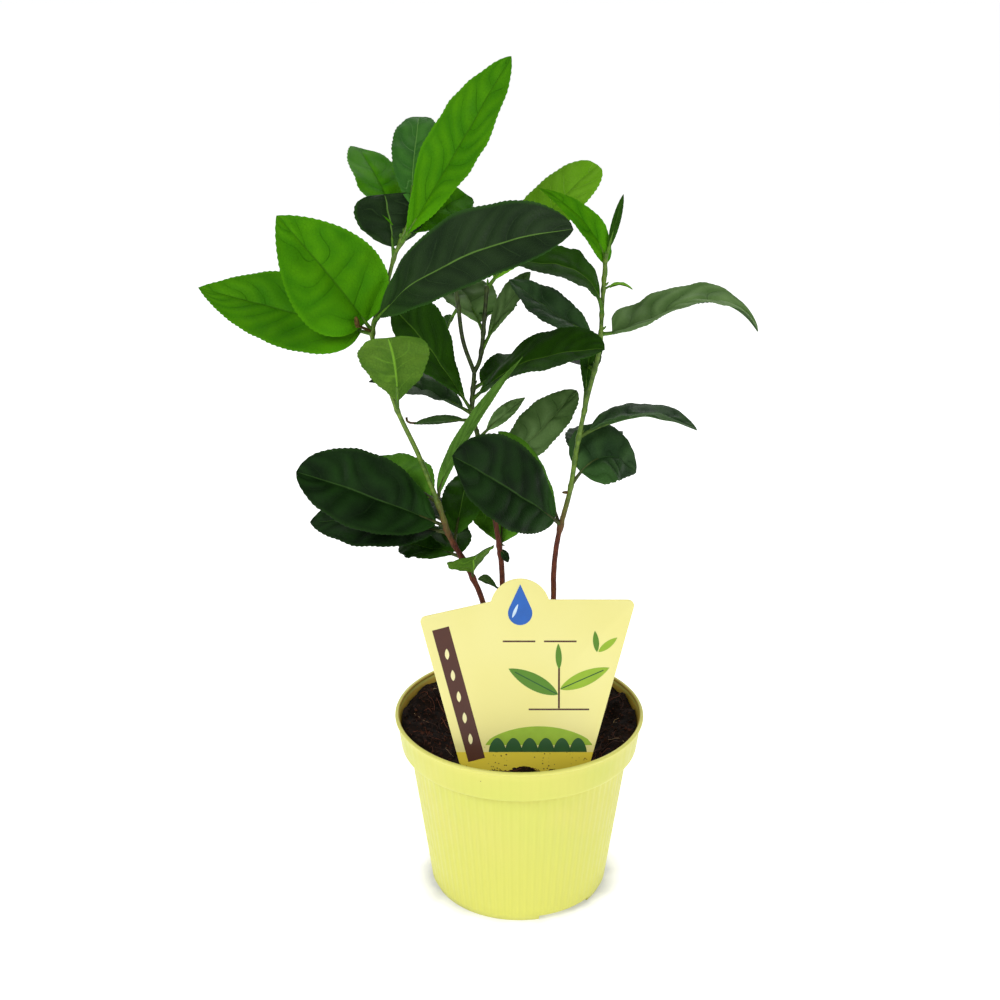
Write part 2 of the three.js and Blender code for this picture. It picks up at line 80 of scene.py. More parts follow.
# %% Wrap a socket so that expressions build nodes
class Wire:
    """An output socket in a material's node tree."""

    def __init__(self, tree, socket=None):
        self.tree = tree
        self.socket = socket

    def node(self, kind, settings=None, sockets=None, out=0):
        """Adds a node: first its settings, then the values or wires of its sockets."""
        made = self.tree.nodes.new(kind)
        for name, value in (settings or {}).items():
            setattr(made, name, value)
        for name, value in (sockets or {}).items():
            if isinstance(value, Wire):
                self.tree.links.new(value.socket, made.inputs[name])
            else:
                made.inputs[name].default_value = value
        return Wire(self.tree, made.outputs[out])

    def out(self, name):
        """Another output of the node that this wire comes from."""
        return Wire(self.tree, self.socket.node.outputs[name])

    def maths(self, operation, *values):
        """A Math node that works on numbers or wires."""
        return self.node("ShaderNodeMath", {"operation": operation}, dict(enumerate(values)))

    def __add__(self, other):
        return self.maths("ADD", self, other)

    def __sub__(self, other):
        return self.maths("SUBTRACT", self, other)

    def __rsub__(self, other):
        return self.maths("SUBTRACT", other, self)

    def __mul__(self, other):
        return self.maths("MULTIPLY", self, other)

    def __truediv__(self, other):
        return self.maths("DIVIDE", self, other)

    def __pow__(self, other):
        return self.maths("POWER", self, other)

    __radd__ = __add__
    __rmul__ = __mul__

    def smooth(self, low, high):
        """0 below low, 1 above high, and a soft step between them."""
        sockets = {"Value": self, "From Min": low, "From Max": high}
        return self.node("ShaderNodeMapRange", {"interpolation_type": "SMOOTHSTEP"}, sockets)

    def mix(self, first, second):
        """The first colour where this wire is 0 and the second where it is 1."""
        return self.node("ShaderNodeMix", {"data_type": "RGBA"}, {0: self, 6: first, 7: second}, out=2)


# %% [markdown]
# ## A finish
#
# Every material starts from the same shader. What stays the same all over a surface is set as a
# plain number on the shader's own socket. Only colour, roughness and relief vary from place to
# place, so only those get wires. Colours are given as the eye reads them, from 0 to 255.


# %% Start a material
def colour(red, green, blue, factor=1):
    """A colour as the eye reads it, times a factor, in the linear values that Blender works with."""
    levels = factor * np.array([red, green, blue]) / 255
    linear = np.where(levels <= 0.04045, levels / 12.92, ((levels + 0.055) / 1.055) ** 2.4)
    return (*(float(level) for level in linear), 1.0)


class Finish(Wire):
    """A material with one shader, whose varying sockets take wires."""

    def __init__(self, name, **constants):
        self.material = bpy.data.materials.new(name)
        self.material.use_nodes = True
        super().__init__(self.material.node_tree)
        self.shader = self.tree.nodes["Principled BSDF"]
        for socket, value in constants.items():
            self.set(socket.replace("_", " "), value)

    def set(self, name, value):
        if isinstance(value, Wire):
            self.tree.links.new(value.socket, self.shader.inputs[name])
        else:
            self.shader.inputs[name].default_value = value

    def place(self):
        """The place on the piece, in metres."""
        return self.node("ShaderNodeTexCoord", out="Object")

    def height(self):
        """The height above the table, in millimetres."""
        return self.node("ShaderNodeSeparateXYZ", None, {"Vector": self.place()}).out("Z") / MM

    def noise(self, size, detail=2.0, vector=None):
        """Soft cloudy noise from 0 to 1 whose blobs are about `size` millimetres across."""
        sockets = {"Vector": vector or self.place(), "Scale": 1 / (size * MM), "Detail": detail}
        return self.node("ShaderNodeTexNoise", None, sockets)

    def cells(self, size, feature="DISTANCE_TO_EDGE"):
        """Voronoi cells about `size` millimetres across: 0 on their edges, or at their centres."""
        sockets = {"Vector": self.place(), "Scale": 1 / (size * MM)}
        return self.node("ShaderNodeTexVoronoi", {"feature": feature}, sockets)

    def relief(self, height, depth):
        """Lets a wire from 0 to 1 stand out of the surface by `depth` millimetres."""
        sockets = {"Height": height, "Distance": depth * MM, "Strength": 1.0}
        self.set("Normal", self.node("ShaderNodeBump", None, sockets))


# %% [markdown]
# ## Handling pieces
#
# Blender's operators act on whatever is selected, and the loaded solids still are. So everything is
# deselected before a new primitive is added. A finished piece gets its name, the body that it moves with,
# and the solids that it stands for. What is small and repeated many times comes from arrays instead, and
# many such parts are joined into one mesh.


# %% Select, shade and settle a piece
def select_only(piece=None):
    if bpy.context.mode != "OBJECT":
        bpy.ops.object.mode_set(mode="OBJECT")
    bpy.ops.object.select_all(action="DESELECT")
    bpy.context.view_layer.objects.active = piece
    if piece is not None:
        piece.select_set(True)


def shade(piece, degrees):
    select_only(piece)
    bpy.ops.object.shade_smooth_by_angle(angle=math.radians(degrees))


def apply_place(piece):
    select_only(piece)
    bpy.ops.object.transform_apply(location=True, rotation=True, scale=True)


def dress(piece, finish):
    piece.data.materials.clear()
    piece.data.materials.append(finish.material)


def settle(piece, name, slot, *solids):
    piece.name = name
    piece.data.name = name
    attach(piece, "root")
    if solids:
        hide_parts(*solids)
    print(f"{name}: {len(piece.data.polygons)} faces")


def mesh_piece(name, points, faces, materials, slots=None):
    """An object made straight from arrays, for what is small and repeated many times."""
    mesh = bpy.data.meshes.new(name)
    mesh.from_pydata([tuple(point) for point in points], [], faces)
    for material in materials:
        mesh.materials.append(material)
    if slots is not None:
        mesh.polygons.foreach_set("material_index", slots)
    piece = bpy.data.objects.new(name, mesh)
    bpy.context.scene.collection.objects.link(piece)
    return piece


def join_parts(parts):
    """Many (corners, faces) parts in millimetres as one pair in metres."""
    points, faces, first = [], [], 0
    for corners, sides in parts:
        points.append(corners)
        faces.extend([tuple(first + corner for corner in face) for face in sides])
        first += len(corners)
    return np.vstack(points) * MM, faces


# %% [markdown]
# ## The pot
#
# A nursery pot is one thin injection moulding: a tapered fluted body, a wider collar with a rolled
# lip, a raised floor on a foot ring, drain holes in the floor and three notches in the ring. A
# lathe shape is quickest by hand as a circle that is extruded and scaled again and again, so a
# helper walks up the profile doing just that. The arc of the lip comes from a formula.


# %% Turn a profile by extruding a circle
def turned(profile, sides):
    """A closed body of revolution through (radius, height) rings."""
    radius, height = profile[0]
    select_only()
    bpy.ops.mesh.primitive_circle_add(
        vertices=sides, radius=radius * MM, location=(0, 0, height * MM), fill_type="NGON"
    )
    bpy.ops.object.transform_apply(location=True, rotation=False, scale=False)
    bpy.ops.object.mode_set(mode="EDIT")
    bpy.ops.mesh.flip_normals()
    for next_radius, next_height in profile[1:]:
        bpy.ops.mesh.extrude_region_move(
            TRANSFORM_OT_translate={"value": (0, 0, (next_height - height) * MM)}
        )
        factor = next_radius / radius
        bpy.ops.transform.resize(value=(factor, factor, 1), center_override=(0, 0, 0))
        radius, height = next_radius, next_height
    bpy.ops.mesh.select_all(action="SELECT")
    bpy.ops.mesh.normals_make_consistent(inside=False)
    bpy.ops.object.mode_set(mode="OBJECT")
    return bpy.context.object


POT_HEIGHT = 92
RIM_RADIUS = 60
FOOT_RADIUS = 42
WALL = 1.3
FLOOR = 1.8
COLLAR_FOOT = 75.5      # the collar is the wider band under the rim
COLLAR_FLARE = 2.3      # how much wider it gets up to the rim
COLLAR_STEP = 3.8       # how far it stands out of the tapered body


def collar_radius(height):
    return RIM_RADIUS - 3 + COLLAR_FLARE * (height - COLLAR_FOOT) / (POT_HEIGHT - COLLAR_FOOT)


def body_radius(height):
    foot = FOOT_RADIUS + 0.8
    return foot + (collar_radius(COLLAR_FOOT) - COLLAR_STEP - foot) * height / COLLAR_FOOT


def lip_arc(steps=12):
    """The rolled lip: most of a circle, from outside the collar round to the inside."""
    turns = (math.radians(-60 + 300 * step / steps) for step in range(steps + 1))
    return [(RIM_RADIUS - 1 + math.cos(turn), POT_HEIGHT - 1 + math.sin(turn)) for turn in turns]


outside = [(20, FLOOR), (38.8, FLOOR), (39.5, 0.4), (39.9, 0), (41.5, 0), (41.9, 0.4)]
outside += [(body_radius(2.4) - 0.5, 2.4), (body_radius(3.2), 3.2)]
outside += [(body_radius(height), height) for height in np.linspace(5, 73, 18)]
step_out = [(body_radius(74.4), 74.4), (body_radius(74.8) + 0.5, 74.9)]
step_out += [(collar_radius(75.3) - 1.1, 75.15), (collar_radius(75.5) - 0.4, 75.4)]
step_out += [(collar_radius(76) - 0.1, 75.9), (collar_radius(76.8), 76.8)]
collar = [(collar_radius(height), height) for height in np.linspace(78.5, 89.6, 6)]
inside = [(collar_radius(height) - WALL, height) for height in (88, 84, 80, 77.6)]
inside += [(body_radius(height) - WALL, height) for height in (73.4, 50, 25, 4.2)]
inside += [(body_radius(4) - 2.2, FLOOR + WALL), (20, FLOOR + WALL)]
pot_profile = outside + step_out + collar + lip_arc() + inside
FLUTES = 80
pot = turned(pot_profile, sides=6 * FLUTES)
print("pot rings:", len(pot_profile))

# %% [markdown]
# The body is finely fluted, which stiffens so thin a wall. The flutes run straight up, so the
# vertices of the outer wall are simply moved inward by a wave round the pot. They end short of the
# foot and the step, and are much fainter on the collar, where the mould is worn smooth.

# %% Flute the wall
FLUTE_DEPTH = 0.3
COLLAR_FLUTE_DEPTH = 0.1


def corners_of(piece):
    """The corners of a piece as an array, in millimetres."""
    return np.array([vertex.co for vertex in piece.data.vertices]) / MM


def move_corners(piece, corners):
    piece.data.vertices.foreach_set("co", (corners * MM).ravel())
    piece.data.update()


corners = corners_of(pot)
radii = np.hypot(corners[:, 0], corners[:, 1])
heights = corners[:, 2]
turns = np.arctan2(corners[:, 1], corners[:, 0])
on_body = (np.abs(radii - body_radius(heights)) < 0.2) & (heights > 4) & (heights < 73.5)
on_collar = (np.abs(radii - collar_radius(heights)) < 0.2) & (heights > 77) & (heights < 90)
wave = 0.5 - 0.5 * np.cos(turns * FLUTES)
depth = FLUTE_DEPTH * on_body + COLLAR_FLUTE_DEPTH * on_collar
shrink = 1 - depth * wave**3 / np.maximum(radii, 1)
corners[:, 0] *= shrink
corners[:, 1] *= shrink
move_corners(pot, corners)
print("fluted vertices:", int(on_body.sum() + on_collar.sum()))

# %% [markdown]
# Holes are cut last, each as a Boolean with a cutter that a loop sets down round the pot. A drain
# hole takes a cylinder. A notch takes two slices of a ring, a deep one in the foot ring and a
# higher one in its outer edge, and a slice is a small upright plane spun through 40 degrees.


# %% Cut the drain holes and the notches
def ring_slice(inner, outer, low, high, turn, angle):
    """A slice of a ring, as a cutter: a plane between two radii and two heights, spun round."""
    select_only()
    bpy.ops.mesh.primitive_plane_add(size=1, rotation=(math.radians(90), 0, 0))
    cutter = bpy.context.object
    cutter.scale = ((outer - inner) * MM, (high - low) * MM, 1)
    cutter.location = ((outer + inner) / 2 * MM, 0, (high + low) / 2 * MM)
    apply_place(cutter)
    bpy.ops.object.mode_set(mode="EDIT")
    bpy.ops.mesh.select_all(action="SELECT")
    bpy.ops.mesh.spin(steps=12, angle=math.radians(angle), center=(0, 0, 0), axis=(0, 0, 1))
    bpy.ops.mesh.select_all(action="SELECT")
    bpy.ops.mesh.normals_make_consistent(inside=False)
    bpy.ops.object.mode_set(mode="OBJECT")
    cutter.rotation_euler.z = math.radians(turn)
    apply_place(cutter)
    return cutter


def cut(piece, cutter):
    select_only(piece)
    modifier = piece.modifiers.new("cut", "BOOLEAN")
    modifier.operation = "DIFFERENCE"
    modifier.solver = "EXACT"
    modifier.object = cutter
    bpy.ops.object.modifier_apply(modifier=modifier.name)
    bpy.data.objects.remove(cutter)


NOTCH_TURNS = (-137, -17, 103)
NOTCH_ANGLE = 40
NOTCH_HEIGHT = 2.7
DRAIN_HOLES = 8
DRAIN_HOLE_RADIUS = 4
DRAIN_CIRCLE = 28
for middle in NOTCH_TURNS:
    start = middle - NOTCH_ANGLE / 2
    cut(pot, ring_slice(FOOT_RADIUS - 4, FOOT_RADIUS + 4, -1, FLOOR - 0.1, start, NOTCH_ANGLE))
    cut(pot, ring_slice(FOOT_RADIUS - 1, FOOT_RADIUS + 4, -1, NOTCH_HEIGHT, start, NOTCH_ANGLE))
for hole in range(DRAIN_HOLES):
    turn = hole * math.tau / DRAIN_HOLES
    spot = (DRAIN_CIRCLE * MM * math.cos(turn), DRAIN_CIRCLE * MM * math.sin(turn), FLOOR * MM)
    select_only()
    bpy.ops.mesh.primitive_cylinder_add(
        vertices=32, radius=DRAIN_HOLE_RADIUS * MM, depth=8 * MM, location=spot
    )
    apply_place(bpy.context.object)
    cut(pot, bpy.context.object)
print("pot after cutting:", len(pot.data.polygons), "faces")

# %% [markdown]
# The plastic is a pale butter yellow with a satin gloss. It is a little translucent in life, and its colour
# turns a little greener low down. Inside the rim the wall is painted darker and warmer: painted shade,
# warmed as light through the thin wall makes it. The inside is told apart by a cone that runs up between
# the wall's two faces. The grooves of the flutes are painted a little darker, as painted shade. A very slow
# mottle, fine scuffs in the gloss and a few specks of peat keep the plastic from looking computed.

# %% Finish the pot
plastic = Finish("pale_yellow_plastic", IOR=1.48, Specular_IOR_Level=0.45)
position = plastic.node("ShaderNodeSeparateXYZ", None, {"Vector": plastic.place()})
height = position.out("Z") / MM
distance = (position.out("X") ** 2 + position.out("Y") ** 2) ** 0.5 / MM
# Where the inside of the rim is: it is painted darker and warmer there, painted shade inside the pot.
painted_inner_shade = height.smooth(70, 86) * (1 - (distance - height * 0.14).smooth(45.3, 45.8))
turn = position.maths("ARCTAN2", position.out("Y"), position.out("X"))
# Painted shade in the grooves of the flutes, fainter on the collar.
groove = turn.maths("COSINE", turn * FLUTES).smooth(0.2, 1.0) * (1 - height.smooth(72, 78) * 0.7)
body = plastic.noise(38, 2).smooth(0.35, 0.7).mix(colour(216, 214, 104), colour(211, 214, 100))
body = height.smooth(60, 20).mix(body, colour(214, 214, 98))
body = height.smooth(86, 91).mix(body, colour(222, 219, 112))
body = (groove * 0.18).mix(body, colour(198, 200, 84))
body = painted_inner_shade.mix(body, colour(204, 172, 70))
specks = (1 - plastic.cells(8, "F1").smooth(0.02, 0.045)) * plastic.noise(16).smooth(0.57, 0.62)
body = specks.mix(body, colour(128, 112, 48))
plastic.set("Base Color", body)
plastic.set("Roughness", plastic.noise(5, 4).smooth(0.2, 0.9) * 0.2 + 0.33)
plastic.relief(plastic.noise(1.2, 3), 0.02)
dress(pot, plastic)
shade(pot, 35)
settle(pot, "pot_moulding", "pot", "pot")

# %% [markdown]
# ## The peat
#
# Potting peat is a crumbly mass of dark brown crumbs bound by fibres. Its surface is a disc with
# enough rings to be lumpy at several scales. On it lie many hundreds of loose crumbs and a few
# hundred bent fibres. Those are joined meshes built from arrays, because modelling each by hand
# would be absurd.


# %% Shape the surface
SOIL_TOP = 82
SOIL_RADIUS = 56.6
SOIL_LEVEL_RADIUS = 22      # the stems stand on level peat inside this radius
SOIL_ROUGH_RADIUS = 30      # and it is fully uneven outside this one
SOIL_RISE = 7               # the peat is heaped up by this much against the wall
SOIL_HOLLOW_RADIUS = 36     # where it starts to rise
SOIL_HEAP_RADIUS = 55       # and where it has risen
SOIL_FRONT_Y = -42          # in front of the card it stays low
SOIL_BACK_Y = -18


def soft_step(value, low, high):
    """0 below low, 1 above high, and a soft step between them."""
    share = min(max((value - low) / (high - low), 0), 1)
    return share * share * (3 - 2 * share)


def soil_height(x, y):
    """The peat's height under a place: level where the stems stand, heaped up behind at the wall."""
    radius = math.hypot(x, y)
    swell = math.sin(x * 0.21 + 1.3) * math.cos(y * 0.17 - 0.4) + 0.5 * math.sin(x * 0.4 - y * 0.33)
    swell = swell * soft_step(radius, SOIL_LEVEL_RADIUS, SOIL_ROUGH_RADIUS)
    heap = SOIL_RISE * soft_step(radius, SOIL_HOLLOW_RADIUS, SOIL_HEAP_RADIUS)
    heap = heap * soft_step(y, SOIL_FRONT_Y, SOIL_BACK_Y)
    lumps = noise.noise((x / 7, y / 7, 3.1)) + 0.7 * abs(noise.noise((x / 3.2, y / 3.2, 7.7)))
    crumbs = noise.noise((x / 1.5, y / 1.5, 1.3))
    grain = 1.5 * lumps + 0.55 * crumbs - 0.9 * soft_step(radius, 50, 56)
    return SOIL_TOP - 0.7 + swell + heap + grain


soil_rings = [(SOIL_RADIUS - 0.9, SOIL_TOP - 3), (SOIL_RADIUS - 0.5, SOIL_TOP - 1.5)]
soil_rings += [(SOIL_RADIUS, SOIL_TOP)]
soil_rings += [(radius, SOIL_TOP) for radius in np.arange(SOIL_RADIUS - 0.8, 0.9, -0.85)]
peat = turned(soil_rings, sides=260)
corners = corners_of(peat)
for corner in corners:
    if corner[2] > SOIL_TOP - 1:
        corner[2] = soil_height(corner[0], corner[1])
move_corners(peat, corners)
print("peat rings:", len(soil_rings))

# %% [markdown]
# Moist peat is nearly black and dull all over, with redder crumbs here and there. Fine noise in
# the relief gives it the grain that the mesh is too coarse for.

# %% Finish the peat
humus = Finish("moist_peat", Specular_IOR_Level=0.12)
tint = humus.noise(3.2, 4).smooth(0.3, 0.75).mix(colour(10, 6, 4), colour(34, 19, 11))
tint = humus.noise(1.1, 3).smooth(0.55, 0.8).mix(tint, colour(78, 40, 24))
humus.set("Base Color", tint)
humus.set("Roughness", humus.noise(4, 2).smooth(0.2, 0.8) * 0.25 + 0.7)
humus.relief(humus.noise(0.7, 4), 0.5)
dress(peat, humus)
shade(peat, 60)
settle(peat, "peat_surface", "peat", "soil")

# %% [markdown]
# Crumbs are squashed, roughened octahedra. They are dealt out with a fixed seed, and each takes
# one of a few plain colours.

# %% Scatter the crumbs
CRUMB_FACES = ((0, 2, 4), (2, 1, 4), (1, 3, 4), (3, 0, 4), (2, 0, 5), (1, 2, 5), (3, 1, 5), (0, 3, 5))
CRUMB_CORNERS = np.array([(1, 0, 0), (-1, 0, 0), (0, 1, 0), (0, -1, 0), (0, 0, 1), (0, 0, -1)])
CRUMBS = 1700


def spot_on_soil(draw, reach):
    turn, radius = draw.uniform(0, math.tau), reach * math.sqrt(draw.uniform(0, 1))
    return radius * math.cos(turn), radius * math.sin(turn)


def scatter_crumbs(count, draw):
    parts, slots = [], []
    for _ in range(count):
        x, y = spot_on_soil(draw, SOIL_RADIUS - 1.5)
        size = 0.35 + 1.1 * draw.uniform(0, 1) ** 2.5
        squash = draw.uniform(0.5, 1.2, 3) * size
        turn = draw.uniform(0, math.tau)
        cosine, sine = math.cos(turn), math.sin(turn)
        spin = np.array([[cosine, -sine, 0], [sine, cosine, 0], [0, 0, 1]])
        lump = (CRUMB_CORNERS + draw.uniform(-0.3, 0.3, (6, 3))) * squash @ spin
        parts.append((lump + (x, y, soil_height(x, y) + 0.3 * size), CRUMB_FACES))
        slots.extend([int(draw.integers(0, 3))] * len(CRUMB_FACES))
    return *join_parts(parts), slots


def plain_finishes(name, colours, roughness):
    """One plain material for each colour, for pieces too small to carry a pattern."""
    made = []
    for index, tone in enumerate(colours):
        finish = Finish(f"{name}_{index}", Roughness=roughness, Specular_IOR_Level=0.3)
        mottle = finish.noise(2, 2).smooth(0.2, 0.8)
        finish.set("Base Color", mottle.mix(colour(*tone, 0.8), colour(*tone)))
        made.append(finish.material)
    return made


draw = np.random.default_rng(11)
crumb_tones = plain_finishes("crumb", [(30, 16, 9), (50, 27, 16), (78, 40, 24)], 0.85)
points, faces, slots = scatter_crumbs(CRUMBS, draw)
settle(mesh_piece("crumbs", points, faces, crumb_tones, slots), "peat_crumbs", "peat")

# %% [markdown]
# Fibres are thin strands that wander over the surface and lift off it here and there. Each is a
# tube round a line of places. With three sides it is light enough to be repeated so often, and
# with more of them it will also serve for the stems and stalks.


# %% Lay the fibres
FIBRES = 300
FIBRE_LINKS = 7


def unit(vectors):
    return vectors / np.linalg.norm(vectors, axis=-1, keepdims=True)


def tube(points, radii, sides):
    """A closed tube, as (corners, faces), round a line of points that doesn't run straight along Y."""
    line = np.array(points, float)
    ahead = unit(np.gradient(line, axis=0))
    side = unit(np.cross(np.array([0.03, 1.0, 0.02]), ahead))
    front = np.cross(ahead, side)
    turns = np.arange(sides) * math.tau / sides
    radii = np.asarray(radii, float)
    if radii.ndim == 1:
        radii = radii[:, None]
    radii = np.broadcast_to(radii, (len(line), sides))
    ring = side[:, None] * np.cos(turns)[None, :, None] + front[:, None] * np.sin(turns)[None, :, None]
    corners = (line[:, None] + ring * radii[..., None]).reshape(-1, 3)
    faces = []
    for start in range(0, (len(line) - 1) * sides, sides):
        for a in range(sides):
            b = (a + 1) % sides
            faces.append((start + a, start + b, start + sides + b, start + sides + a))
    last = (len(line) - 1) * sides
    faces.append(tuple(range(sides - 1, -1, -1)))
    faces.append(tuple(range(last, last + sides)))
    return corners, faces


def scatter_fibres(count, draw):
    parts, slots = [], []
    for _ in range(count):
        x, y = spot_on_soil(draw, SOIL_RADIUS - 4)
        heading = draw.uniform(0, math.tau)
        length = 3 + 13 * draw.uniform(0, 1) ** 2
        bend = draw.uniform(-0.35, 0.35)
        lift = draw.uniform(0.2, 1.6)
        line = []
        for link in range(FIBRE_LINKS + 1):
            if math.hypot(x, y) > SOIL_RADIUS - 1.5:
                break
            rise = lift * math.sin(math.pi * link / FIBRE_LINKS)
            line.append((x, y, soil_height(x, y) + 0.15 + rise))
            heading += bend + draw.uniform(-0.25, 0.25)
            x += length / FIBRE_LINKS * math.cos(heading)
            y += length / FIBRE_LINKS * math.sin(heading)
        if len(line) < 4:
            continue
        corners, sides = tube(line, draw.uniform(0.08, 0.2), 3)
        parts.append((corners, sides))
        slots.extend([int(draw.choice(3, p=(0.62, 0.28, 0.1)))] * len(sides))
    return *join_parts(parts), slots


fibre_tones = plain_finishes("fibre", [(66, 34, 20), (108, 56, 34), (176, 146, 110)], 0.7)
points, faces, slots = scatter_fibres(FIBRES, draw)
settle(mesh_piece("fibres", points, faces, fibre_tones, slots), "peat_fibres", "peat")

# %% [markdown]
# ## The card
#
# A stick-in card is die-cut from plastic sheet: a fan shape with round corners and a round tab on
# a short stake. Its outline is drawn with arcs for the corners and the tab, given its thickness by
# an extrusion and its edge by a small bevel. It is modelled lying flat, then leaned back and set
# down in the peat.

# %% Cut the card
CARD_THICKNESS = 0.8
CARD_LEAN = 15
CARD_FOOT_Y = -38
CARD_DEPTH = 18         # how deep the stake is pushed in
CARD_STAKE_HALF = 9     # half the width of the stake's end
CARD_LEFT = -27.5       # the card's two edges where it enters the peat
CARD_RIGHT = 32
CARD_SPREAD = 0.268     # how much each edge moves outward for each millimetre up
CARD_LEFT_TOP = 69      # heights up the card of its two top corners
CARD_RIGHT_TOP = 76.5
CARD_CORNER = 3
CARD_TAB_HEIGHT = 75.5
CARD_TAB_RADIUS = 13.8


def arc(x, y, radius, start, end, steps):
    """Points on an arc about (x, y), between two angles in degrees."""
    turns = (math.radians(start + (end - start) * step / steps) for step in range(steps + 1))
    return [(x + radius * math.cos(turn), y + radius * math.sin(turn)) for turn in turns]


def card_left(height):
    return CARD_LEFT - CARD_SPREAD * height


def card_right(height):
    return CARD_RIGHT + CARD_SPREAD * height


card_outline = [(-CARD_STAKE_HALF, -CARD_DEPTH), (CARD_STAKE_HALF, -CARD_DEPTH), (card_right(-1), -1)]
card_outline += arc(card_right(CARD_RIGHT_TOP) - CARD_CORNER, CARD_RIGHT_TOP, CARD_CORNER, 0, 90, 6)
card_outline += arc(0, CARD_TAB_HEIGHT, CARD_TAB_RADIUS, 17, 167, 40)
card_outline += arc(card_left(CARD_LEFT_TOP) + CARD_CORNER, CARD_LEFT_TOP, CARD_CORNER, 90, 180, 6)
card_outline += [(card_left(-1), -1)]


def stand_card(piece):
    """Leans a flat piece back as the card does and sets it down at the card's place."""
    piece.rotation_euler = (math.radians(90 - CARD_LEAN), 0, 0)
    piece.location = (0, CARD_FOOT_Y * MM, SOIL_TOP * MM)
    apply_place(piece)


def flat_plate(outline, low, high):
    """A flat plate of an outline between two levels, by extruding a reshaped circle."""
    select_only()
    bpy.ops.mesh.primitive_circle_add(vertices=len(outline), radius=MM, fill_type="NGON")
    plate = bpy.context.object
    move_corners(plate, np.array([(x, y, low) for x, y in outline]))
    bpy.ops.object.mode_set(mode="EDIT")
    bpy.ops.mesh.select_all(action="SELECT")
    bpy.ops.mesh.extrude_region_move(TRANSFORM_OT_translate={"value": (0, 0, (high - low) * MM)})
    bpy.ops.mesh.select_all(action="SELECT")
    bpy.ops.mesh.normals_make_consistent(inside=False)
    bpy.ops.object.mode_set(mode="OBJECT")
    return plate


card = flat_plate(card_outline, 0, CARD_THICKNESS)
bevel = card.modifiers.new("bevel", "BEVEL")
bevel.width = 0.22 * MM
bevel.segments = 3
bevel.limit_method = "ANGLE"
bevel.angle_limit = math.radians(60)
select_only(card)
bpy.ops.object.modifier_apply(modifier=bevel.name)
stand_card(card)
print("points of the card's outline:", len(card_outline))

# %% [markdown]
# The sheet is smooth and pale yellow, with a deeper yellow band and a few splashes of dirt where
# it enters the peat.

# %% Finish the card
sheet = Finish("card_sheet", IOR=1.5)
tone = sheet.noise(40, 1).smooth(0.3, 0.7).mix(colour(236, 228, 142), colour(238, 231, 152))
height = sheet.height()
tone = (1 - height.smooth(89.6, 89.8)).mix(tone, colour(232, 212, 66))
dirt = (1 - sheet.cells(1.6, "F1").smooth(0.12, 0.3)) * sheet.noise(6).smooth(0.5, 0.56)
tone = (dirt * (1 - height.smooth(88, 94))).mix(tone, colour(74, 46, 24))
sheet.set("Base Color", tone)
sheet.set("Roughness", sheet.noise(6, 3).smooth(0.2, 0.8) * 0.12 + 0.4)
sheet.relief(sheet.noise(0.8, 2), 0.008)
dress(card, sheet)
shade(card, 35)
settle(card, "card", "card", "label")

# %% [markdown]
# The card is printed with a plain design of its own: a sprig with two leaves and a bud over a row
# of clipped bushes, a small pair of leaves in the corner, a brown bar down one side, thin rules,
# and a drop of water on the tab. Each motif is an outline, and a leaf, a bar, a hump and a drop
# are enough to draw them all.


# %% Draw with outlines
SPRIG_FULLNESS = 1.87       # brings a printed leaf to its width where it is widest
BAR_INSET = 8.5             # of the middle of the brown bar from the card's edge


def leaf_outline(x, y, length, width, turn, steps=18):
    """A leaf from its foot at (x, y), pointed at both ends, on a heading in degrees."""
    half = []
    for step in range(1, steps):
        along = step / steps
        half.append((along * length, width * 0.5 * SPRIG_FULLNESS * along**0.8 * (1 - along) ** 0.9))
    points = [(0, 0)] + [(a, -b) for a, b in half] + [(length, 0)] + [(a, b) for a, b in reversed(half)]
    cosine, sine = math.cos(math.radians(turn)), math.sin(math.radians(turn))
    return [(x + a * cosine - b * sine, y + a * sine + b * cosine) for a, b in points]


def bar(x1, y1, x2, y2, width):
    """A straight bar between two points."""
    along = Vector((x2 - x1, y2 - y1)).normalized() * width / 2
    dx, dy = -along.y, along.x
    return [(x1 - dx, y1 - dy), (x2 - dx, y2 - dy), (x2 + dx, y2 + dy), (x1 + dx, y1 + dy)]


def hump_outline(middle, crest, foot, width):
    """A low hump across the card, from its crest down to a straight foot."""
    top = []
    for step in range(25):
        share = step / 24
        x = middle + width * (share - 0.5)
        top.append((x, foot + (crest - foot) * math.sin(math.pi * share) ** 0.6))
    return [(middle - width / 2, foot - 0.4), (middle + width / 2, foot - 0.4)] + top[::-1]


def drop_outline(x, y, size):
    """A drop of water: a round foot that runs up to a point."""
    return arc(x, y, size, -205, 25, 24) + [(x, y + 2.4 * size)]


print("points of a printed leaf:", len(leaf_outline(0, 0, 10, 5, 0)))

# %% [markdown]
# Ink is only a few hundredths of a millimetre thick. So each colour is one set of very thin plates
# whose undersides are sunk in the card's face, and each lies a hair above the one before.

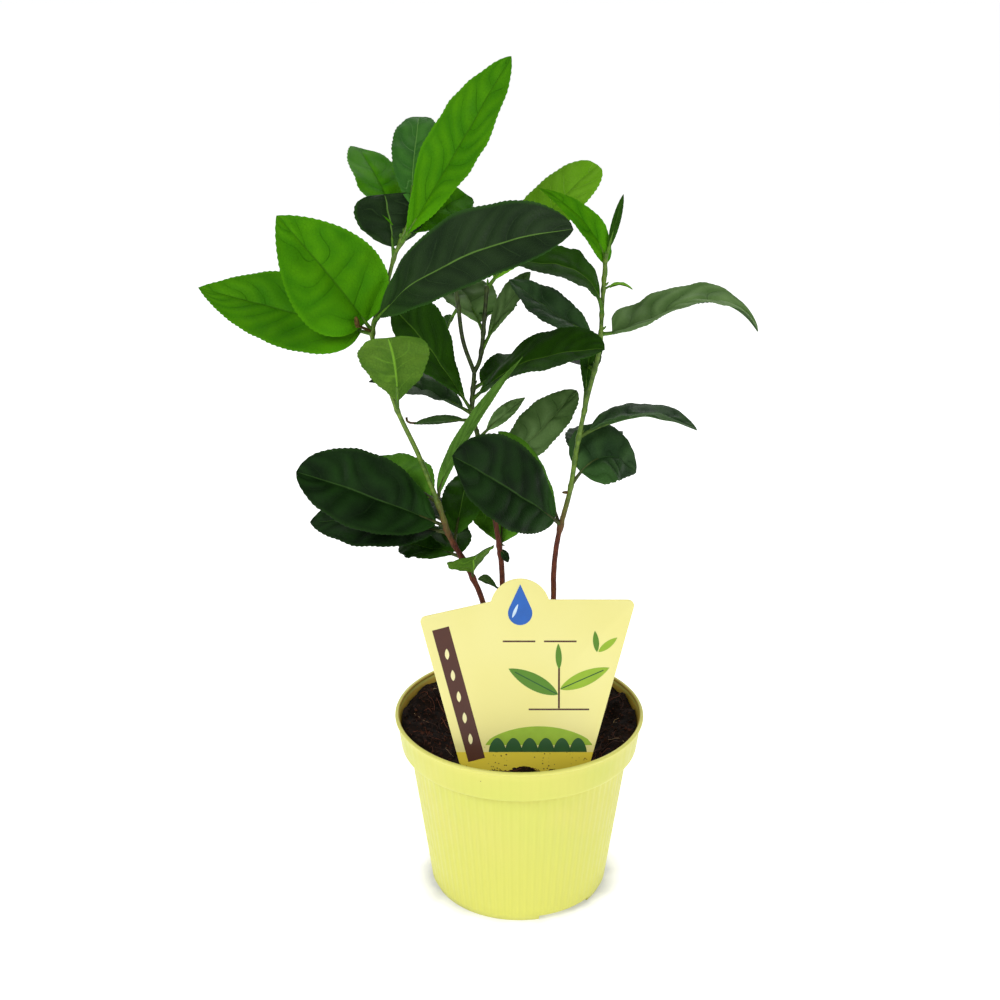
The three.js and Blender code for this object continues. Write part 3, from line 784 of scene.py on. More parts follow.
# %% Print the card
lawn_left, lawn_right = card_left(11) + 14.5, card_right(11) - 1.5
corner = card_right(60)
prints = {
    "brown": [
        bar(card_left(4) + BAR_INSET, 4, card_left(66) + BAR_INSET, 66, 8),
        bar(-8, 60, 7, 60, 0.8),
        bar(11, 60, 26, 60, 0.8),
        bar(4, 28, 32, 28, 0.8),
        bar(18, 28.5, 18, 50, 0.9),
    ],
    "pale": [
        leaf_outline(card_left(height) + BAR_INSET, height - 2.6, 5.2, 3.4, 95)
        for height in (14, 24, 34, 44, 54)
    ],
    "lime": [
        leaf_outline(18.4, 37.5, 25, 12, 24),
        hump_outline((lawn_left + lawn_right) / 2, 20, 11.5, lawn_right - lawn_left),
        leaf_outline(corner - 12, 55, 11, 5.4, 38),
    ],
    "leaf_green": [
        leaf_outline(17.6, 35, 26, 13, 152),
        leaf_outline(18, 47, 12, 5, 92),
        leaf_outline(corner - 12.6, 55, 10, 4.8, 96),
    ],
    "deep_green": [
        *(hump_outline(middle, 14.5, 8.2, 8.0) for middle in np.linspace(-10.5, 27, 6)),
        bar(17, 35.3, -2.4, 45.6, 0.5),
        bar(19, 37.8, 38.5, 46.5, 0.5),
    ],
    "blue": [drop_outline(0, 73.2, 5.6)],
    "sky": [leaf_outline(-3.6, 71, 7, 2.4, 68)],
}
inks = {
    "brown": (82, 46, 34),
    "pale": (247, 240, 178),
    "lime": (150, 186, 44),
    "leaf_green": (88, 138, 34),
    "deep_green": (36, 86, 38),
    "blue": (40, 100, 186),
    "sky": (206, 228, 244),
}
for level, (ink, outlines) in enumerate(prints.items()):
    finish = Finish(f"ink_{ink}", IOR=1.5)
    grain = finish.noise(5, 3).smooth(0.2, 0.8)
    finish.set("Base Color", grain.mix(colour(*inks[ink]), colour(*inks[ink], 0.94)))
    finish.set("Roughness", grain * 0.1 + 0.38)
    top = CARD_THICKNESS + 0.02 + 0.012 * level
    plates = [flat_plate(outline, CARD_THICKNESS - 0.05, top) for outline in outlines]
    select_only(plates[0])
    for plate in plates:
        plate.select_set(True)
    if len(plates) > 1:
        bpy.ops.object.join()
    print_piece = bpy.context.view_layer.objects.active
    stand_card(print_piece)
    dress(print_piece, finish)
    settle(print_piece, f"card_print_{ink}", "card")

# %% [markdown]
# ## The stems
#
# Each stem is a thin rod that bends a little at every old leaf joint, tapers towards its tip and
# flares where it leaves the peat. It follows one smooth curve through a few places, the same as
# in the solid model. The curve is a Catmull-Rom spline, which passes through all its points.


# %% Follow a stem
FOOT = SOIL_TOP + 0.3       # the solid stems start just clear of the peat
PLANT_TOP = 336             # height at which the stems have thinned to their tip radius
STEM_FOOT_RADIUS = 1.5
STEM_TIP_RADIUS = 0.8
STEM_FLARE = 1.1            # extra radius where a stem leaves the peat
STEM_FLARE_HEIGHT = 5
STEM_POINTS = {
    "left": [
        (-4, 3, FOOT), (-10, 1, 116), (-17, -2, 149), (-22, -3, 163), (-27, -4, 174), (-33, -5, 186),
        (-37, -6, 200), (-46, -8, 226), (-55, -10, 248), (-62, -10, 271), (-65, -10, 284),
        (-59, -6, 302), (-55, -4, 316), (-51, -2, 324), (-47, 1, 335),
    ],
    "middle": [
        (-5, 11, FOOT), (-7, 12, 116), (-8, 12, 145), (-9, 14, 167), (-14, 14, 200),
        (-19, 14, 225), (-22, 14, 239), (-21, 14, 258),
    ],
    "middle_left": [(-21, 14, 258), (-26, 14, 273), (-28, 12, 290), (-29, 11, 298)],
    "middle_right": [(-21, 14, 258), (-18, 14, 266), (-16, 14, 287), (-15, 14, 299)],
    "right": [
        (12, 3, FOOT), (15, 2, 116), (16, 2, 148), (16, 2, 165), (18, 2, 183), (23, 2, 205),
        (26, 4, 226), (30, 4, 248), (35, 4, 271), (36, 4, 292), (37, 4, 316),
    ],
}


def spline(points, steps=24):
    """A Catmull-Rom spline through points, with `steps` places to each stretch."""
    stops = np.array(points, float)
    stops = np.vstack([2 * stops[0] - stops[1], stops, 2 * stops[-1] - stops[-2]])
    share = np.linspace(0, 1, steps, endpoint=False)[:, None]
    line = []
    for before, start, end, after in zip(stops, stops[1:], stops[2:], stops[3:]):
        leave, arrive = (end - before) / 2, (after - start) / 2
        line.append(
            start + leave * share
            + (3 * (end - start) - 2 * leave - arrive) * share**2
            + (2 * (start - end) + leave + arrive) * share**3
        )
    return np.vstack([*line, stops[-2]])


STEM_LINES = {name: spline(points) for name, points in STEM_POINTS.items()}


def stem_place(stem, height):
    """The place on a stem at a height: every stem rises all the way."""
    line = STEM_LINES[stem]
    return np.array([np.interp(height, line[:, 2], line[:, axis]) for axis in range(3)])


def stem_radius(height):
    rise = np.clip((height - SOIL_TOP) / (PLANT_TOP - SOIL_TOP), 0, 1)
    flare = STEM_FLARE * np.exp(-(height - SOIL_TOP) / STEM_FLARE_HEIGHT)
    return STEM_FOOT_RADIUS - (STEM_FOOT_RADIUS - STEM_TIP_RADIUS) * rise + flare


for name, line in STEM_LINES.items():
    print(name, "rises from", round(line[0, 2], 1), "to", round(line[-1, 2], 1))

# %% [markdown]
# ## The leaves' places
#
# The leaves stand in the same places as in the solid model, mass by mass: `at` is the height of
# the joint, `turn` and `rise` are the heading, `roll` tips the blade about it, `arch` and `sway`
# bow it and `fold` lifts its two halves. `peak` is how far along the bow is greatest. The blade
# fills out slowly from its foot where `rear` is large, and narrows early to its tip where `blunt`
# is. To those come the looks: each leaf takes one `tone`, from old and dark to young and bright,
# and is more or less quilted between its veins.

# %% List the leaves
USUAL_LEAF = dict(roll=0, arch=0.05, sway=0, peak=0.5, fold=13, rear=0.75, blunt=0.8)
MASSES = {
    "left_low_leaves": ("left", [
        dict(at=190, turn=-170, rise=25, length=74, width=38, roll=-50, arch=0.04, blunt=0.6, tone="old"),
        dict(at=187, turn=176, rise=3, length=64, width=34, roll=-30, tone="old"),
        dict(at=174, turn=145, rise=-3, length=36, width=26, roll=-15, tone="green"),
        dict(at=172, turn=112, rise=8, length=34, width=20, arch=0.08, tone="green"),
        dict(at=181, turn=80, rise=32, length=42, width=19, roll=10, tone="green"),
        dict(at=193, turn=120, rise=-14, length=60, width=30, tone="old"),
        dict(at=163, turn=-84, rise=52, length=22, width=24, roll=22, rear=1.3, tone="green"),
    ]),
    "left_middle_leaves": ("left", [
        dict(at=202, turn=135, rise=7, length=52, width=30, roll=-10, tone="fresh"),
        dict(at=200, turn=-22, rise=62, length=86, width=8, roll=62, arch=0.02, sway=-0.07,
             peak=0.34, rear=0.5, blunt=1.1, tone="sage"),
        dict(at=248, turn=-94, rise=60, length=46, width=31, roll=8, arch=0.04, sway=-0.03, fold=8,
             blunt=0.5, rear=0.95, tone="fresh"),
    ]),
    "left_crown_leaves": ("left", [
        dict(at=284, turn=-174, rise=53, length=65, width=44, roll=-75, sway=0.01, blunt=0.9,
             rear=0.5, tone="bright"),
        dict(at=283, turn=163, rise=10, length=84, width=42, roll=-40, arch=0.03, sway=-0.02,
             blunt=0.95, rear=0.45, tone="bright"),
        dict(at=288, turn=-30, rise=28, length=110, width=39, roll=50, arch=0.1, sway=-0.02,
             blunt=0.6, tone="shadow"),
        dict(at=296, turn=85, rise=-8, length=62, width=32, arch=0.08, tone="green"),
        dict(at=292, turn=120, rise=-22, length=66, width=32, arch=0.08, tone="green"),
    ]),
    "left_tip_leaves": ("left", [
        dict(at=321, turn=-4, rise=59, length=93, width=33, roll=45, arch=0.02, sway=0.03, rear=1,
             tone="bright"),
        dict(at=333, turn=87, rise=38, length=57, width=20, roll=-5, arch=0.08, blunt=0.5, tone="grey"),
        dict(at=323, turn=118, rise=35, length=57, width=26, roll=10, arch=0.1, sway=-0.05, tone="bright"),
        dict(at=315, turn=114, rise=70, length=28, width=36, roll=5, arch=0.05, blunt=0.45, tone="shadow"),
        dict(at=323, turn=38, rise=24, length=38, width=24, roll=25, arch=0.04, blunt=0.5, tone="bright"),
        dict(at=326, turn=88, rise=-12, length=56, width=26, tone="green"),
    ]),
    "middle_foot_leaves": ("middle", [
        dict(at=168, turn=84, rise=50, length=36, width=34, rear=0.95, tone="fresh"),
        dict(at=149, turn=-160, rise=40, length=15, width=5.5, roll=60, blunt=0.4, rear=1.2, tone="old"),
        dict(at=172, turn=-20, rise=-60, length=9, width=4, roll=40, tone="old"),
        dict(at=190, turn=80, rise=-10, length=55, width=30, tone="old"),
        dict(at=204, turn=22, rise=42, length=60, width=24, roll=26, sway=0.04, blunt=0.7, rear=0.9,
             tone="stone"),
    ]),
    "middle_fork_leaves": ("middle", [
        dict(at=239, turn=-145, rise=54, length=71, width=32, roll=-65, arch=0.03, blunt=0.6,
             rear=1.6, tone="green"),
        dict(at=238, turn=173, rise=16, length=50, width=26, roll=-5, arch=0.08, tone="quilted"),
        dict(at=235, turn=-142, rise=9, length=34, width=5.5, roll=65, arch=0.04, tone="old"),
        dict(at=226, turn=5, rise=42, length=29, width=8, roll=45, rear=1, blunt=1, tone="stone"),
        dict(at=245, turn=-34, rise=27, length=78, width=30, roll=28, arch=0.08, sway=-0.03,
             blunt=0.6, tone="green"),
        dict(at=250, turn=38, rise=4, length=50, width=28, arch=0.08, tone="green"),
    ]),
    "middle_left_leaves": ("middle_left", [
        dict(at=289, turn=125, rise=-67, length=28, width=16, roll=-60, arch=0.1, tone="green"),
        dict(at=293, turn=104, rise=26, length=26, width=26, tone="stone"),
    ]),
    "middle_right_leaves": ("middle_right", [
        dict(at=277, turn=122, rise=36, length=34, width=28, roll=5, tone="stone"),
        dict(at=268, turn=20, rise=56, length=42, width=12, roll=25, rear=1.3, tone="stone"),
        dict(at=297, turn=25, rise=43, length=75, width=25, roll=30, arch=0.05, blunt=0.45, tone="lime"),
        dict(at=284, turn=88, rise=-14, length=60, width=28, tone="green"),
    ]),
    "right_low_leaves": ("right", [
        dict(at=188, turn=-150, rise=38, length=72, width=42, roll=-60, arch=0.03, blunt=0.6, tone="old"),
        dict(at=207, turn=16, rise=6, length=32, width=34, roll=36, arch=0.32, sway=-0.18, rear=0.5,
             blunt=0.85, tone="quilted"),
        dict(at=186, turn=-178, rise=59, length=56, width=12, roll=-30, sway=0.08, rear=1.2, tone="fresh"),
        dict(at=219, turn=68, rise=-2, length=50, width=26, tone="quilted"),
    ]),
    "right_middle_leaves": ("right", [
        dict(at=230, turn=0, rise=4, length=54, width=26, roll=-5, arch=0.14, sway=-0.03, fold=20,
             tone="quilted"),
        dict(at=243, turn=75, rise=62, length=36, width=11, roll=40, blunt=0.5, rear=1.3, sway=-0.05,
             tone="green"),
        dict(at=262, turn=110, rise=-10, length=60, width=26, tone="old"),
    ]),
    "right_upper_leaves": ("right", [
        dict(at=276, turn=166, rise=31, length=49, width=19, roll=-28, arch=-0.03, tone="gloss"),
        dict(at=279, turn=0, rise=1, length=70, width=29, roll=8, arch=0.21, fold=20, peak=0.68,
             rear=0.22, blunt=0.55, tone="stone"),
        dict(at=288, turn=-174, rise=31, length=47, width=24, roll=-25, arch=0.26, peak=0.45, tone="green"),
    ]),
    "right_tip_leaves": ("right", [
        dict(at=304, turn=164, rise=52, length=49, width=13, roll=-35, arch=0.11, sway=0.12,
             blunt=1.1, rear=0.6, peak=0.42, tone="bright"),
        dict(at=312, turn=58, rise=60, length=31, width=4, roll=30, arch=0.02, fold=20, tone="green"),
        dict(at=299, turn=0, rise=2, length=13, width=4, arch=0.2, tone="lime"),
    ]),
}
MASSES = {
    name: (stem, [USUAL_LEAF | leaf for leaf in leaves]) for name, (stem, leaves) in MASSES.items()
}
print("leaves:", sum(len(leaves) for _, leaves in MASSES.values()))

# %% [markdown]
# ## One leaf
#
# A tea leaf is a thin leathery blade, widest near its middle and drawn out to a tip. It hangs on
# its midrib, which is one bowed line from the joint on the stem. So that line is worked out first,
# with the ways that point along it, across the blade and up from it at every place.


# %% Lay a leaf's midrib
STALK_LENGTH = 5


def blade_shape(along, rear, blunt):
    """A blade's half width along its length, 1 at its widest."""
    widest = rear / (rear + blunt)
    return along**rear * (1 - along) ** blunt / (widest**rear * (1 - widest) ** blunt)


def leaf_axes(turn, rise, roll):
    """A leaf's heading and the way that its upper side faces."""
    turn, rise, roll = math.radians(turn), math.radians(rise), math.radians(roll)
    level = np.array([math.cos(turn), math.sin(turn), 0])
    heading = level * math.cos(rise) + np.array([0, 0, math.sin(rise)])
    face = np.array([0, 0, math.cos(rise)]) - level * math.sin(rise)
    face = face * math.cos(roll) + np.cross(heading, face) * math.sin(roll)
    return heading, face


def midrib_line(stem, leaf, shares):
    """Places on a leaf's midrib at shares of its length, from its joint on the stem."""
    heading, face = leaf_axes(leaf["turn"], leaf["rise"], leaf["roll"])
    across = np.cross(heading, face)
    skewed = shares ** (math.log(0.5) / math.log(leaf["peak"]))
    bow = (4 * skewed * (1 - skewed))[:, None] * leaf["length"]
    line = stem_place(stem, leaf["at"]) + np.outer(shares * leaf["length"], heading)
    return line + bow * (leaf["arch"] * face + leaf["sway"] * across)


def midrib_frame(stem, leaf, shares):
    """The places on the midrib, and the ways across the blade and up from it at each."""
    face = leaf_axes(leaf["turn"], leaf["rise"], leaf["roll"])[1]
    before = midrib_line(stem, leaf, np.maximum(shares - 0.01, 0))
    ahead = unit(midrib_line(stem, leaf, np.minimum(shares + 0.01, 1)) - before)
    side = unit(np.cross(ahead, face))
    return midrib_line(stem, leaf, shares), side, np.cross(side, ahead)


first_leaf = MASSES["left_low_leaves"][1][0]
tip = midrib_line("left", first_leaf, np.array([1.0]))[0]
print("the first leaf's tip:", [round(float(value), 1) for value in tip])

# %% [markdown]
# The midrib is a groove above and a ridge below. Up to nine pairs of side veins leave it, curve
# forward and sink into the blade, which swells between them like a quilt, and the whole blade is
# a little wavy. All that is relief on one grid of places, along the blade and across it, so it is
# worked out with arrays. `vein` counts the side veins along the blade: it is a whole number on
# each vein and a half in the middle between two.


# %% Quilt and wave a blade
VEIN_PITCH = 12         # between two side veins, along the midrib
VEIN_SLANT = 0.2        # how far forward a side vein runs, as a share of the blade's length
QUILT = {
    "old": 0.9, "gloss": 0.9, "quilted": 1.5, "shadow": 0.55, "grey": 0.6, "stone": 1.3,
    "sage": 0.5, "green": 0.4, "fresh": 0.45, "lime": 0.45, "bright": 0.4,
}


def noise_grid(along, across, place):
    """Smooth noise over the grid, read at the place that a formula gives for each corner."""
    return np.array([[noise.noise(place(a, c)) for c in across] for a in along])


def count_veins(leaf, along, across, seed):
    slant = VEIN_SLANT * np.abs(across) ** 1.3
    pairs = max(3, leaf["length"] / VEIN_PITCH)
    vein = (along[:, None] - slant) * pairs + 0.4 * (across < 0)
    drift = noise_grid(along, across, lambda a, c: (a * 4, seed + 5 * np.sign(c), 0.9 + c))
    return vein + 0.9 * drift


def quilting(leaf, vein, across, half):
    """How far the blade swells between its veins."""
    reach = np.abs(across)
    from_vein = np.abs(vein - np.round(vein)) * 2
    quilt = QUILT[leaf["tone"]] * np.clip(half / 14, 0.1, 1.3)[:, None]
    return quilt * np.sin(np.pi / 2 * from_vein) ** 0.7 * np.clip(reach * 6, 0, 1) * (1 - reach**3)


def waviness(leaf, along, across, half, seed):
    """Slow waves of the whole blade, and ripples that grow towards its margin."""
    slow = noise_grid(along, across, lambda a, c: (leaf["length"] + a * 5, seed + c * 1.4, 0.3))
    ripple = noise_grid(along, across, lambda a, c: (a * 9, seed + 3.3 + np.sign(c) * 2, 1.7))
    return (1.6 * slow + 1.5 * (ripple * across * across)) * np.clip(half / 12, 0, 1)[:, None]


print("quilted tones:", len(QUILT))

# %% [markdown]
# The margin is finely toothed, with teeth that point to the tip: three rows of the grid make one
# tooth, and the last of them stands out furthest. The grid is laid out twice, for the upper and
# the lower skin, and closed round its edge.


# %% Work out a blade
TOOTH_PITCH = 2.4
TOOTH_DEPTH = 0.42
HALF_COLUMNS = 13
MIDRIB_WIDTH = 0.7


def close_skins(rows, columns):
    """Faces of two grids of corners, one over the other, that are closed round their edge."""
    index = np.arange(rows * columns).reshape(rows, columns)
    quads = np.stack([index[:-1, :-1], index[:-1, 1:], index[1:, 1:], index[1:, :-1]], -1)
    upper = quads.reshape(-1, 4)
    lower = upper[:, ::-1] + rows * columns
    edge = np.concatenate([index[0, :-1], index[:-1, -1], index[-1, :0:-1], index[:0:-1, 0]])
    follow = np.roll(edge, -1)
    rim = np.stack([edge, edge + rows * columns, follow + rows * columns, follow], -1)
    undersides = np.concatenate([np.zeros(len(upper) + len(rim), int), np.ones(len(lower), int)])
    return np.vstack([upper, rim, lower]), undersides


def blade_mesh(stem, leaf, seed):
    """The blade's corners, its faces, a 0 or 1 for each face's side, and a place on it for each corner."""
    length, width = leaf["length"], leaf["width"]
    stalk = min(STALK_LENGTH, 0.2 * length)
    teeth = max(6, round((length - stalk) / TOOTH_PITCH))
    along = np.linspace(0, 1, 3 * teeth + 1)
    line, side, up = midrib_frame(stem, leaf, (stalk + along * (length - stalk)) / length)
    half = np.maximum(0.5 * width * blade_shape(along, leaf["rear"], leaf["blunt"]), 0.12)
    spread = np.linspace(-1, 1, 2 * HALF_COLUMNS + 1)
    across = np.sign(spread) * np.abs(spread) ** 1.5
    reach = np.abs(across)
    rows = along[:, None]

    fold = math.radians(leaf["fold"])
    tooth = (np.arange(len(along)) % 3) / 2 * np.clip(np.minimum(along / 0.15, (1 - along) / 0.06), 0, 1)
    margin = (TOOTH_DEPTH * tooth * min(1, width / 20))[:, None]
    out = half[:, None] * across + np.sign(across) * (reach == 1) * margin
    vein = count_veins(leaf, along, across, seed)
    relief = half[:, None] * math.sin(fold) * reach**1.2
    relief = relief + quilting(leaf, vein, across, half) + waviness(leaf, along, across, half, seed)

    midrib = np.exp(-((np.abs(out) / MIDRIB_WIDTH) ** 2))
    groove = 0.3 * midrib * (1 - 0.6 * rows)
    ridge = (0.75 - 0.55 * rows) * midrib
    skin = 0.2 - 0.12 * reach**2
    middle = line[:, None] + side[:, None] * (out * math.cos(fold))[..., None]
    upper = middle + up[:, None] * (relief + skin - groove)[..., None]
    lower = middle + up[:, None] * (relief - skin - ridge)[..., None]

    points = np.vstack([upper.reshape(-1, 3), lower.reshape(-1, 3)])
    faces, undersides = close_skins(len(along), len(across))
    places = np.stack(np.broadcast_arrays(vein, 0.5 + 0.5 * across), -1).reshape(-1, 2)
    return points, faces, undersides, np.vstack([places, places])


sample = blade_mesh("left", first_leaf, 0)
print("the first leaf:", len(sample[0]), "corners", len(sample[1]), "faces")

# %% [markdown]
# ## Leaf finishes
#
# The upper side is dark and glossy in an old leaf and bright and satin in a young one. The midrib
# shows as a pale line, the side veins as slightly different lines, and a fine net of small veins
# gives the leather its grain. Towards its foot a blade gets a little paler. The pattern follows
# the blade's own places, which the mesh carries as a UV map: X counts the side veins, Y runs
# across the blade from 0 to 1. So the veins of the finish lie in those of the relief.


# %% Make the leaf finishes
FOOT_TINT = (22, 38, 12)


def blade_pattern(finish):
    """The vein that a place on the blade is by, how far out it is, and how far from that vein."""
    place = finish.node("ShaderNodeUVMap", {"uv_map": "blade"})
    parts = finish.node("ShaderNodeSeparateXYZ", None, {"Vector": place})
    order, across = parts.out("X"), parts.out("Y") * 2 - 1
    return order, across.maths("ABSOLUTE", across), order.maths("PINGPONG", order, 0.5)


def leaf_finish(name, dark, light, vein, midrib, gloss, edge):
    finish = Finish(name, IOR=1.45, Specular_IOR_Level=gloss[1])
    order, reach, from_vein = blade_pattern(finish)
    uneven = finish.noise(7, 2).smooth(0.3, 0.7) * 0.6 + 0.4
    side_vein = (1 - from_vein.smooth(0.006, 0.034)) * (1 - reach.smooth(0.5, 0.85)) * uneven
    # Lighter in the middle between two side veins: painted light and shade of the quilted swell.
    painted_pillow_light = from_vein.smooth(0.05, 0.5) * (1 - reach.smooth(0.75, 1.0))
    centre = 1 - reach.smooth(0.006, 0.034)
    net = 1 - finish.cells(1.5).smooth(0.0, 0.09)
    tone = finish.noise(16, 3).smooth(0.32, 0.7) * 0.55 + painted_pillow_light * 0.45
    tone = tone.mix(colour(*dark), colour(*light))
    tone = (reach.smooth(0.88, 1.0) * 0.6).mix(tone, colour(*edge))
    tone = (net * 0.1).mix(tone, colour(*vein))
    tone = (side_vein * 0.65).mix(tone, colour(*vein))
    foot = colour(*(level + more for level, more in zip(light, FOOT_TINT)))
    tone = ((1 - order.smooth(-0.3, 1.3)) * 0.35).mix(tone, foot)
    tone = (centre * 0.9).mix(tone, colour(*midrib))
    finish.set("Base Color", tone)
    finish.set("Roughness", finish.noise(8, 3).smooth(0.25, 0.8) * 0.14 + gloss[0])
    finish.relief(net * 0.35 + side_vein * 0.9, -0.16)
    return finish.material


# Each look is the dark and the light of the blade, its side veins and its midrib, how rough and
# how shiny it is, and its margin.
LEAF_LOOKS = {
    "old": ((9, 27, 6), (27, 56, 17), (24, 48, 16), (52, 82, 34), (0.44, 0.1), (36, 66, 22)),
    "gloss": ((36, 64, 32), (68, 102, 58), (72, 100, 62), (84, 114, 68), (0.36, 0.24), (46, 76, 40)),
    "quilted": ((30, 56, 26), (56, 86, 44), (22, 42, 18), (44, 74, 34), (0.44, 0.12), (54, 84, 42)),
    "shadow": ((22, 40, 18), (37, 58, 28), (50, 74, 38), (100, 140, 60), (0.42, 0.11), (46, 90, 22)),
    "grey": ((42, 92, 28), (64, 118, 40), (92, 140, 70), (104, 152, 70), (0.46, 0.1), (56, 106, 34)),
    "stone": ((78, 110, 54), (116, 148, 88), (58, 84, 42), (130, 160, 98), (0.5, 0.1), (96, 128, 70)),
    "sage": ((56, 92, 24), (82, 124, 42), (92, 134, 56), (108, 150, 66), (0.5, 0.08), (96, 136, 56)),
    "green": ((28, 62, 4), (42, 82, 8), (32, 68, 6), (82, 122, 36), (0.46, 0.07), (44, 88, 12)),
    "fresh": ((58, 106, 18), (80, 130, 30), (94, 146, 46), (136, 172, 72), (0.52, 0.06), (74, 124, 26)),
    "lime": ((108, 170, 22), (126, 188, 42), (150, 202, 84), (106, 164, 34), (0.52, 0.07), (120, 180, 40)),
    "bright": ((52, 116, 1), (74, 138, 3), (38, 90, 1), (52, 104, 4), (0.52, 0.06), (80, 146, 6)),
}
leaf_tones = {name: leaf_finish(f"leaf_{name}", *look) for name, look in LEAF_LOOKS.items()}
print("leaf finishes:", len(leaf_tones))

# %% [markdown]
# The underside is paler and dull, and there the midrib and the side veins stand out as pale ribs.
# Two finishes are enough for it, one for old leaves and one for young.


# %% Make the underside finishes
UNDERSIDES = {
    "old": ((42, 72, 30), (60, 88, 42)),
    "young": ((62, 100, 22), (84, 120, 34)),
}
YOUNG_TONES = ("bright", "fresh", "green", "lime", "sage")


def underside_finish(name, dark, light):
    finish = Finish(name, Specular_IOR_Level=0.08)
    _, reach, from_vein = blade_pattern(finish)
    ribs = (1 - from_vein.smooth(0.01, 0.06)) * (1 - reach.smooth(0.4, 0.8)) * 0.35
    centre = (1 - reach.smooth(0.015, 0.05)) * 0.7
    net = 1 - finish.cells(1.5).smooth(0.0, 0.1)
    tone = finish.noise(12, 3).smooth(0.3, 0.7).mix(colour(*dark), colour(*light))
    tone = (net * 0.25).mix(tone, colour(*dark, 0.75))
    tone = ribs.mix(tone, colour(*light, 1.3))
    finish.set("Base Color", centre.mix(tone, colour(*light, 1.45)))
    finish.set("Roughness", finish.noise(6, 2).smooth(0.2, 0.8) * 0.12 + 0.55)
    finish.relief(net, 0.08)
    return finish.material


underside_tones = {
    name: underside_finish(f"underside_{name}", *look) for name, look in UNDERSIDES.items()
}
print("underside finishes:", len(underside_tones))

# %% [markdown]
# Each mass of leaves is joined into one mesh. A leaf's upper faces take the slot of its tone and
# its lower faces that of an underside, so the colours stay in place wherever the mesh goes.


# %% Grow the masses of leaves
def grow_mass(name, stem, leaves, seed):
    tones = sorted({leaf["tone"] for leaf in leaves})
    materials = [leaf_tones[tone] for tone in tones] + list(underside_tones.values())
    points, faces, slots, places, first = [], [], [], [], 0
    for number, leaf in enumerate(leaves):
        corners, quads, undersides, spots = blade_mesh(stem, leaf, seed + 0.7 * number)
        below = len(tones) + (1 if leaf["tone"] in YOUNG_TONES else 0)
        points.append(corners)
        faces.append(quads + first)
        slots.append(np.where(undersides == 1, below, tones.index(leaf["tone"])))
        places.append(spots)
        first += len(corners)
    faces = np.vstack(faces)
    piece = mesh_piece(name, np.vstack(points) * MM, faces.tolist(), materials, np.concatenate(slots))
    layer = piece.data.uv_layers.new(name="blade")
    layer.data.foreach_set("uv", np.vstack(places)[faces.ravel()].ravel())
    shade(piece, 60)
    return piece


leaf_slots = {entry["node"]: entry["material_slot"] for entry in frame["record"]["subparts"]}
for seed, (name, (stem, leaves)) in enumerate(MASSES.items()):
    blades = grow_mass(f"{name}_blades", stem, leaves, 10.0 * seed)
    settle(blades, f"{name}_blades", leaf_slots[name], name)

# %% [markdown]
# ## Bark
#
# The bark is thin and red-brown, with fine cracks along the stem and a low ring at each old leaf
# joint. Higher up it gives way to smooth green. Each stem is a tube with enough rings and sides
# for that relief to be real, and it runs on up through its leaves.


# %% Grow the stems
BARK_TOPS = {"left": 197, "middle": 176, "middle_left": 0, "middle_right": 0, "right": 205}
STEM_SIDES = 20
RING_SPACING = 0.7
JOINT_SWELL = 0.32
FORK_HEIGHT = 256.5


def stem_mesh(stem, joints, foot):
    heights = np.arange(foot, STEM_LINES[stem][-1, 2], RING_SPACING)
    centres = np.array([stem_place(stem, height) for height in heights])
    radii = stem_radius(np.maximum(heights, SOIL_TOP))
    for joint in joints:
        radii = radii + JOINT_SWELL * np.exp(-(((heights - joint) / 1.5) ** 2))
    turns = np.arange(STEM_SIDES) * math.tau / STEM_SIDES
    crack = noise_grid(heights, turns, lambda z, t: (math.cos(t) * 2.2, math.sin(t) * 2.2, z / 6))
    knot = noise_grid(heights, turns, lambda z, t: (math.cos(t), math.sin(t), z / 2.2 + 40))
    woody = np.clip((BARK_TOPS[stem] + 15 - heights) / 30, 0.2, 1)
    relief = woody[:, None] * (0.16 * crack + 0.09 * knot)
    return tube(centres, radii[:, None] + relief, STEM_SIDES)


def bark_finish(name, sap_dark, sap_light):
    """Cracked red-brown bark that gives way to smooth green higher up."""
    bark = Finish(name, Specular_IOR_Level=0.35)
    long_grain = bark.node("ShaderNodeMapping", None, {"Vector": bark.place(), "Scale": (1, 1, 0.16)})
    cracks = bark.noise(0.5, 3, long_grain)
    wood = cracks.smooth(0.35, 0.65).mix(colour(66, 24, 13), colour(106, 48, 28))
    wood = bark.noise(3, 2).smooth(0.55, 0.75).mix(wood, colour(98, 54, 26))
    sap = bark.noise(2.5, 2).smooth(0.3, 0.7).mix(colour(*sap_dark), colour(*sap_light))
    ragged = bark.height() + bark.noise(4, 2, long_grain) * 24
    wood_to_sap = ragged.smooth(190, 226)
    bark.set("Base Color", wood_to_sap.mix(wood, sap))
    bark.set("Roughness", 0.72 - wood_to_sap * 0.25)
    bark.relief(cracks * (1 - wood_to_sap), 0.25)
    return bark.material


bark = bark_finish("stem_bark", (72, 102, 30), (106, 136, 42))
twig_bark = bark_finish("twig_bark", (40, 50, 20), (66, 84, 30))
stem_joints = {name: [] for name in STEM_LINES}
for stem, leaves in MASSES.values():
    stem_joints[stem] += [leaf["at"] for leaf in leaves]
for stem in STEM_LINES:
    forked = stem.startswith("middle_")
    corners, sides = stem_mesh(stem, stem_joints[stem], FORK_HEIGHT if forked else FOOT - 2)
    rod = mesh_piece(stem, corners * MM, sides, [twig_bark if stem.startswith("middle") else bark])
    shade(rod, 60)
    solids = () if forked else (f"{stem}_stem",)
    settle(rod, f"{stem}_rod", "bark", *solids)

# %% [markdown]
# ## Leaf stalks and buds
#
# A short stalk carries each leaf. It leaves the stem round and thick, follows the leaf's own line
# and runs on under the blade as its midrib. In the angle above it sits a tiny pointed bud.


